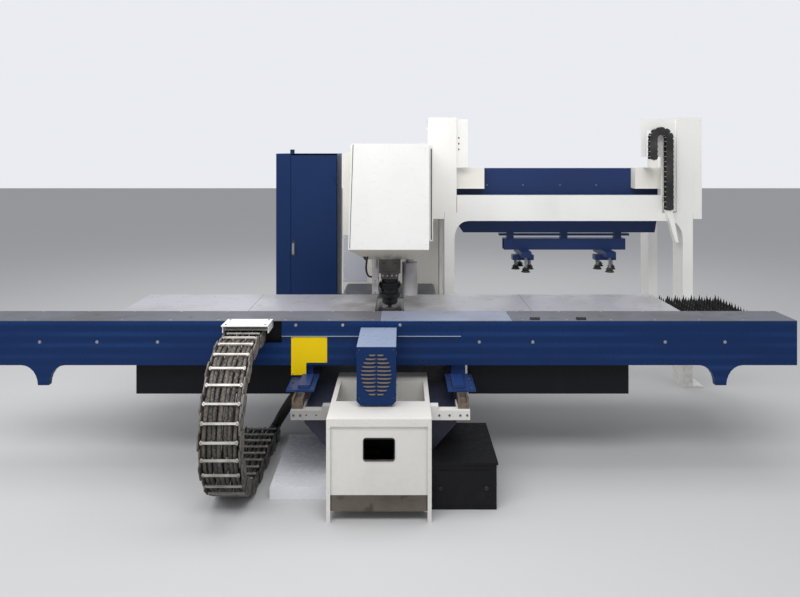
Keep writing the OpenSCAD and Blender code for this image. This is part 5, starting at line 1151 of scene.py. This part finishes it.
# Each cross of arms carries four cups: two at the ends of its upper arm and two under its lower one.
cup_low, arm_y = 0.974, 0.98
upper_arm_low, lower_arm_low = 1.105, 1.06
arm_ends = [(0, -0.125, upper_arm_low), (0, 0.185, upper_arm_low),
            (-0.062, 0.03, lower_arm_low), (0.062, 0.03, lower_arm_low)]
cup_mounts = [(x + dx, arm_y + dy, top) for x in (1.217, 1.957) for dx, dy, top in arm_ends]
fold = lathed([(0, 0.03), (0.008, 0.03), (0.012, 0.024), (0.026, 0.009), (0.0385, 0.0), (0.04, 0.0015),
               (0.031, 0.013), (0.024, 0.018), (0.033, 0.0235), (0.034, 0.026), (0.024, 0.032),
               (0.0205, 0.0355), (0.0205, 0.04), (0, 0.04)], 36)
cups = placed(fold, [(x, y, cup_low) for x, y, _ in cup_mounts])
cup_piece = new_piece("cups", cups, black_rubber, "lift")
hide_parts("suction_cups")

stem_r, nut_r, collar_r, coil_r, wire_r, coil_turns = 0.0085, 0.012, 0.015, 0.0155, 0.0016, 7
stem_low, coil_low = cup_low + 0.038, cup_low + 0.046
coil_at = np.linspace(0, coil_turns * 2 * pi, 150)
stems = []
for x, y, top in cup_mounts:
    collar_z = top - cup_low - 0.04
    stem = lathed([(0, 0), (nut_r, 0), (nut_r, 0.008), (stem_r, 0.01), (stem_r, collar_z),
                   (collar_r, collar_z), (collar_r, collar_z + 0.008), (0, collar_z + 0.008)], 18)
    coil_top = coil_low + top - cup_low - 0.05
    coil = np.column_stack([x + coil_r * np.cos(coil_at), y + coil_r * np.sin(coil_at),
                            np.linspace(coil_low, coil_top, 150)])
    stems.append(placed(stem, (x, y, stem_low)))
    stems.append(tube(coil, wire_r, 6))
new_piece("cup_stems", joined(*stems), zinc_steel, "lift")

lift_dots = spots((0.889, 1.211, 1.543, 1.866), 0.95, 1.736)
hanger_dots = spots([x + dx for x in (1.102, 1.587, 2.072) for dx in (-0.018, 0.018)], arm_y, 1.335)
lift_heads = joined(cap_screws(0.0055, lift_dots, to_front), cap_screws(0.006, hanger_dots, to_front))
new_piece("lift_screws", lift_heads, zinc_steel, "lift")


# Small chain of the lift.
# Black moulded links with thin dusty crossbars round black cables, from the lift's bracket over a
# half turn down to the tower plate.
small_tall, small_half, small_r, small_pitch = 0.07, 0.03, 0.068, 0.043
free_x, small_y, turn_z, free_z, fixed_z = 2.271, 0.683, 2.145, 1.972, 1.535
free_l, half_turn_l, fixed_l = turn_z - free_z, pi * small_r, turn_z - fixed_z
small_l = free_l + half_turn_l + fixed_l
turn_end = free_l + half_turn_l
small_chain = bent_line((free_x + small_r, small_y, turn_z), small_r, free_l, (0, 0, 1), (-1, 0, 0))
small_links = plastic("small_links", chip(30, 30, 32), grey_dust, 0.25, 0.45)
small_bars = plastic("small_bars", chip(150, 146, 138), grey_dust, 0.4, 0.45)
small_cables = plastic("small_cables", chip(30, 30, 31), grey_dust, 0.3, 0.5)
lines = [(-0.015, -0.01, 0.0085), (0.004, -0.012, 0.0095), (0.018, 0.006, 0.007), (-0.008, 0.013, 0.0085)]
small_runs = {
    "free": (0, free_l, (free_x, small_y, turn_z + free_l), (free_x, small_y, free_z)),
    "turn": (free_l, turn_end, (free_x, small_y - far, turn_z), (free_x, small_y + far, turn_z)),
    "fixed": (turn_end, small_l, (free_x, small_y, fixed_z), (free_x, small_y, fixed_z + 2 * fixed_l)),
}
for part, (start, end, none_at, all_at) in small_runs.items():
    links, bars = chain_links(small_chain, small_l, small_pitch, small_half, small_tall, start, end)
    tubes = cables_along(small_chain, np.linspace(start, end, 24), lines)
    made = [new_piece(f"small_{part}_links", links, small_links, None),
            new_piece(f"small_{part}_bars", bars, small_bars, None),
            new_piece(f"small_{part}_cables", joined(*tubes), small_cables, None)]
    for piece in made:
        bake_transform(piece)
        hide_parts("drag_chain")


# The view transform is plain, so that the paints show as they are mixed.
bpy.context.scene.view_settings.view_transform = "Standard"
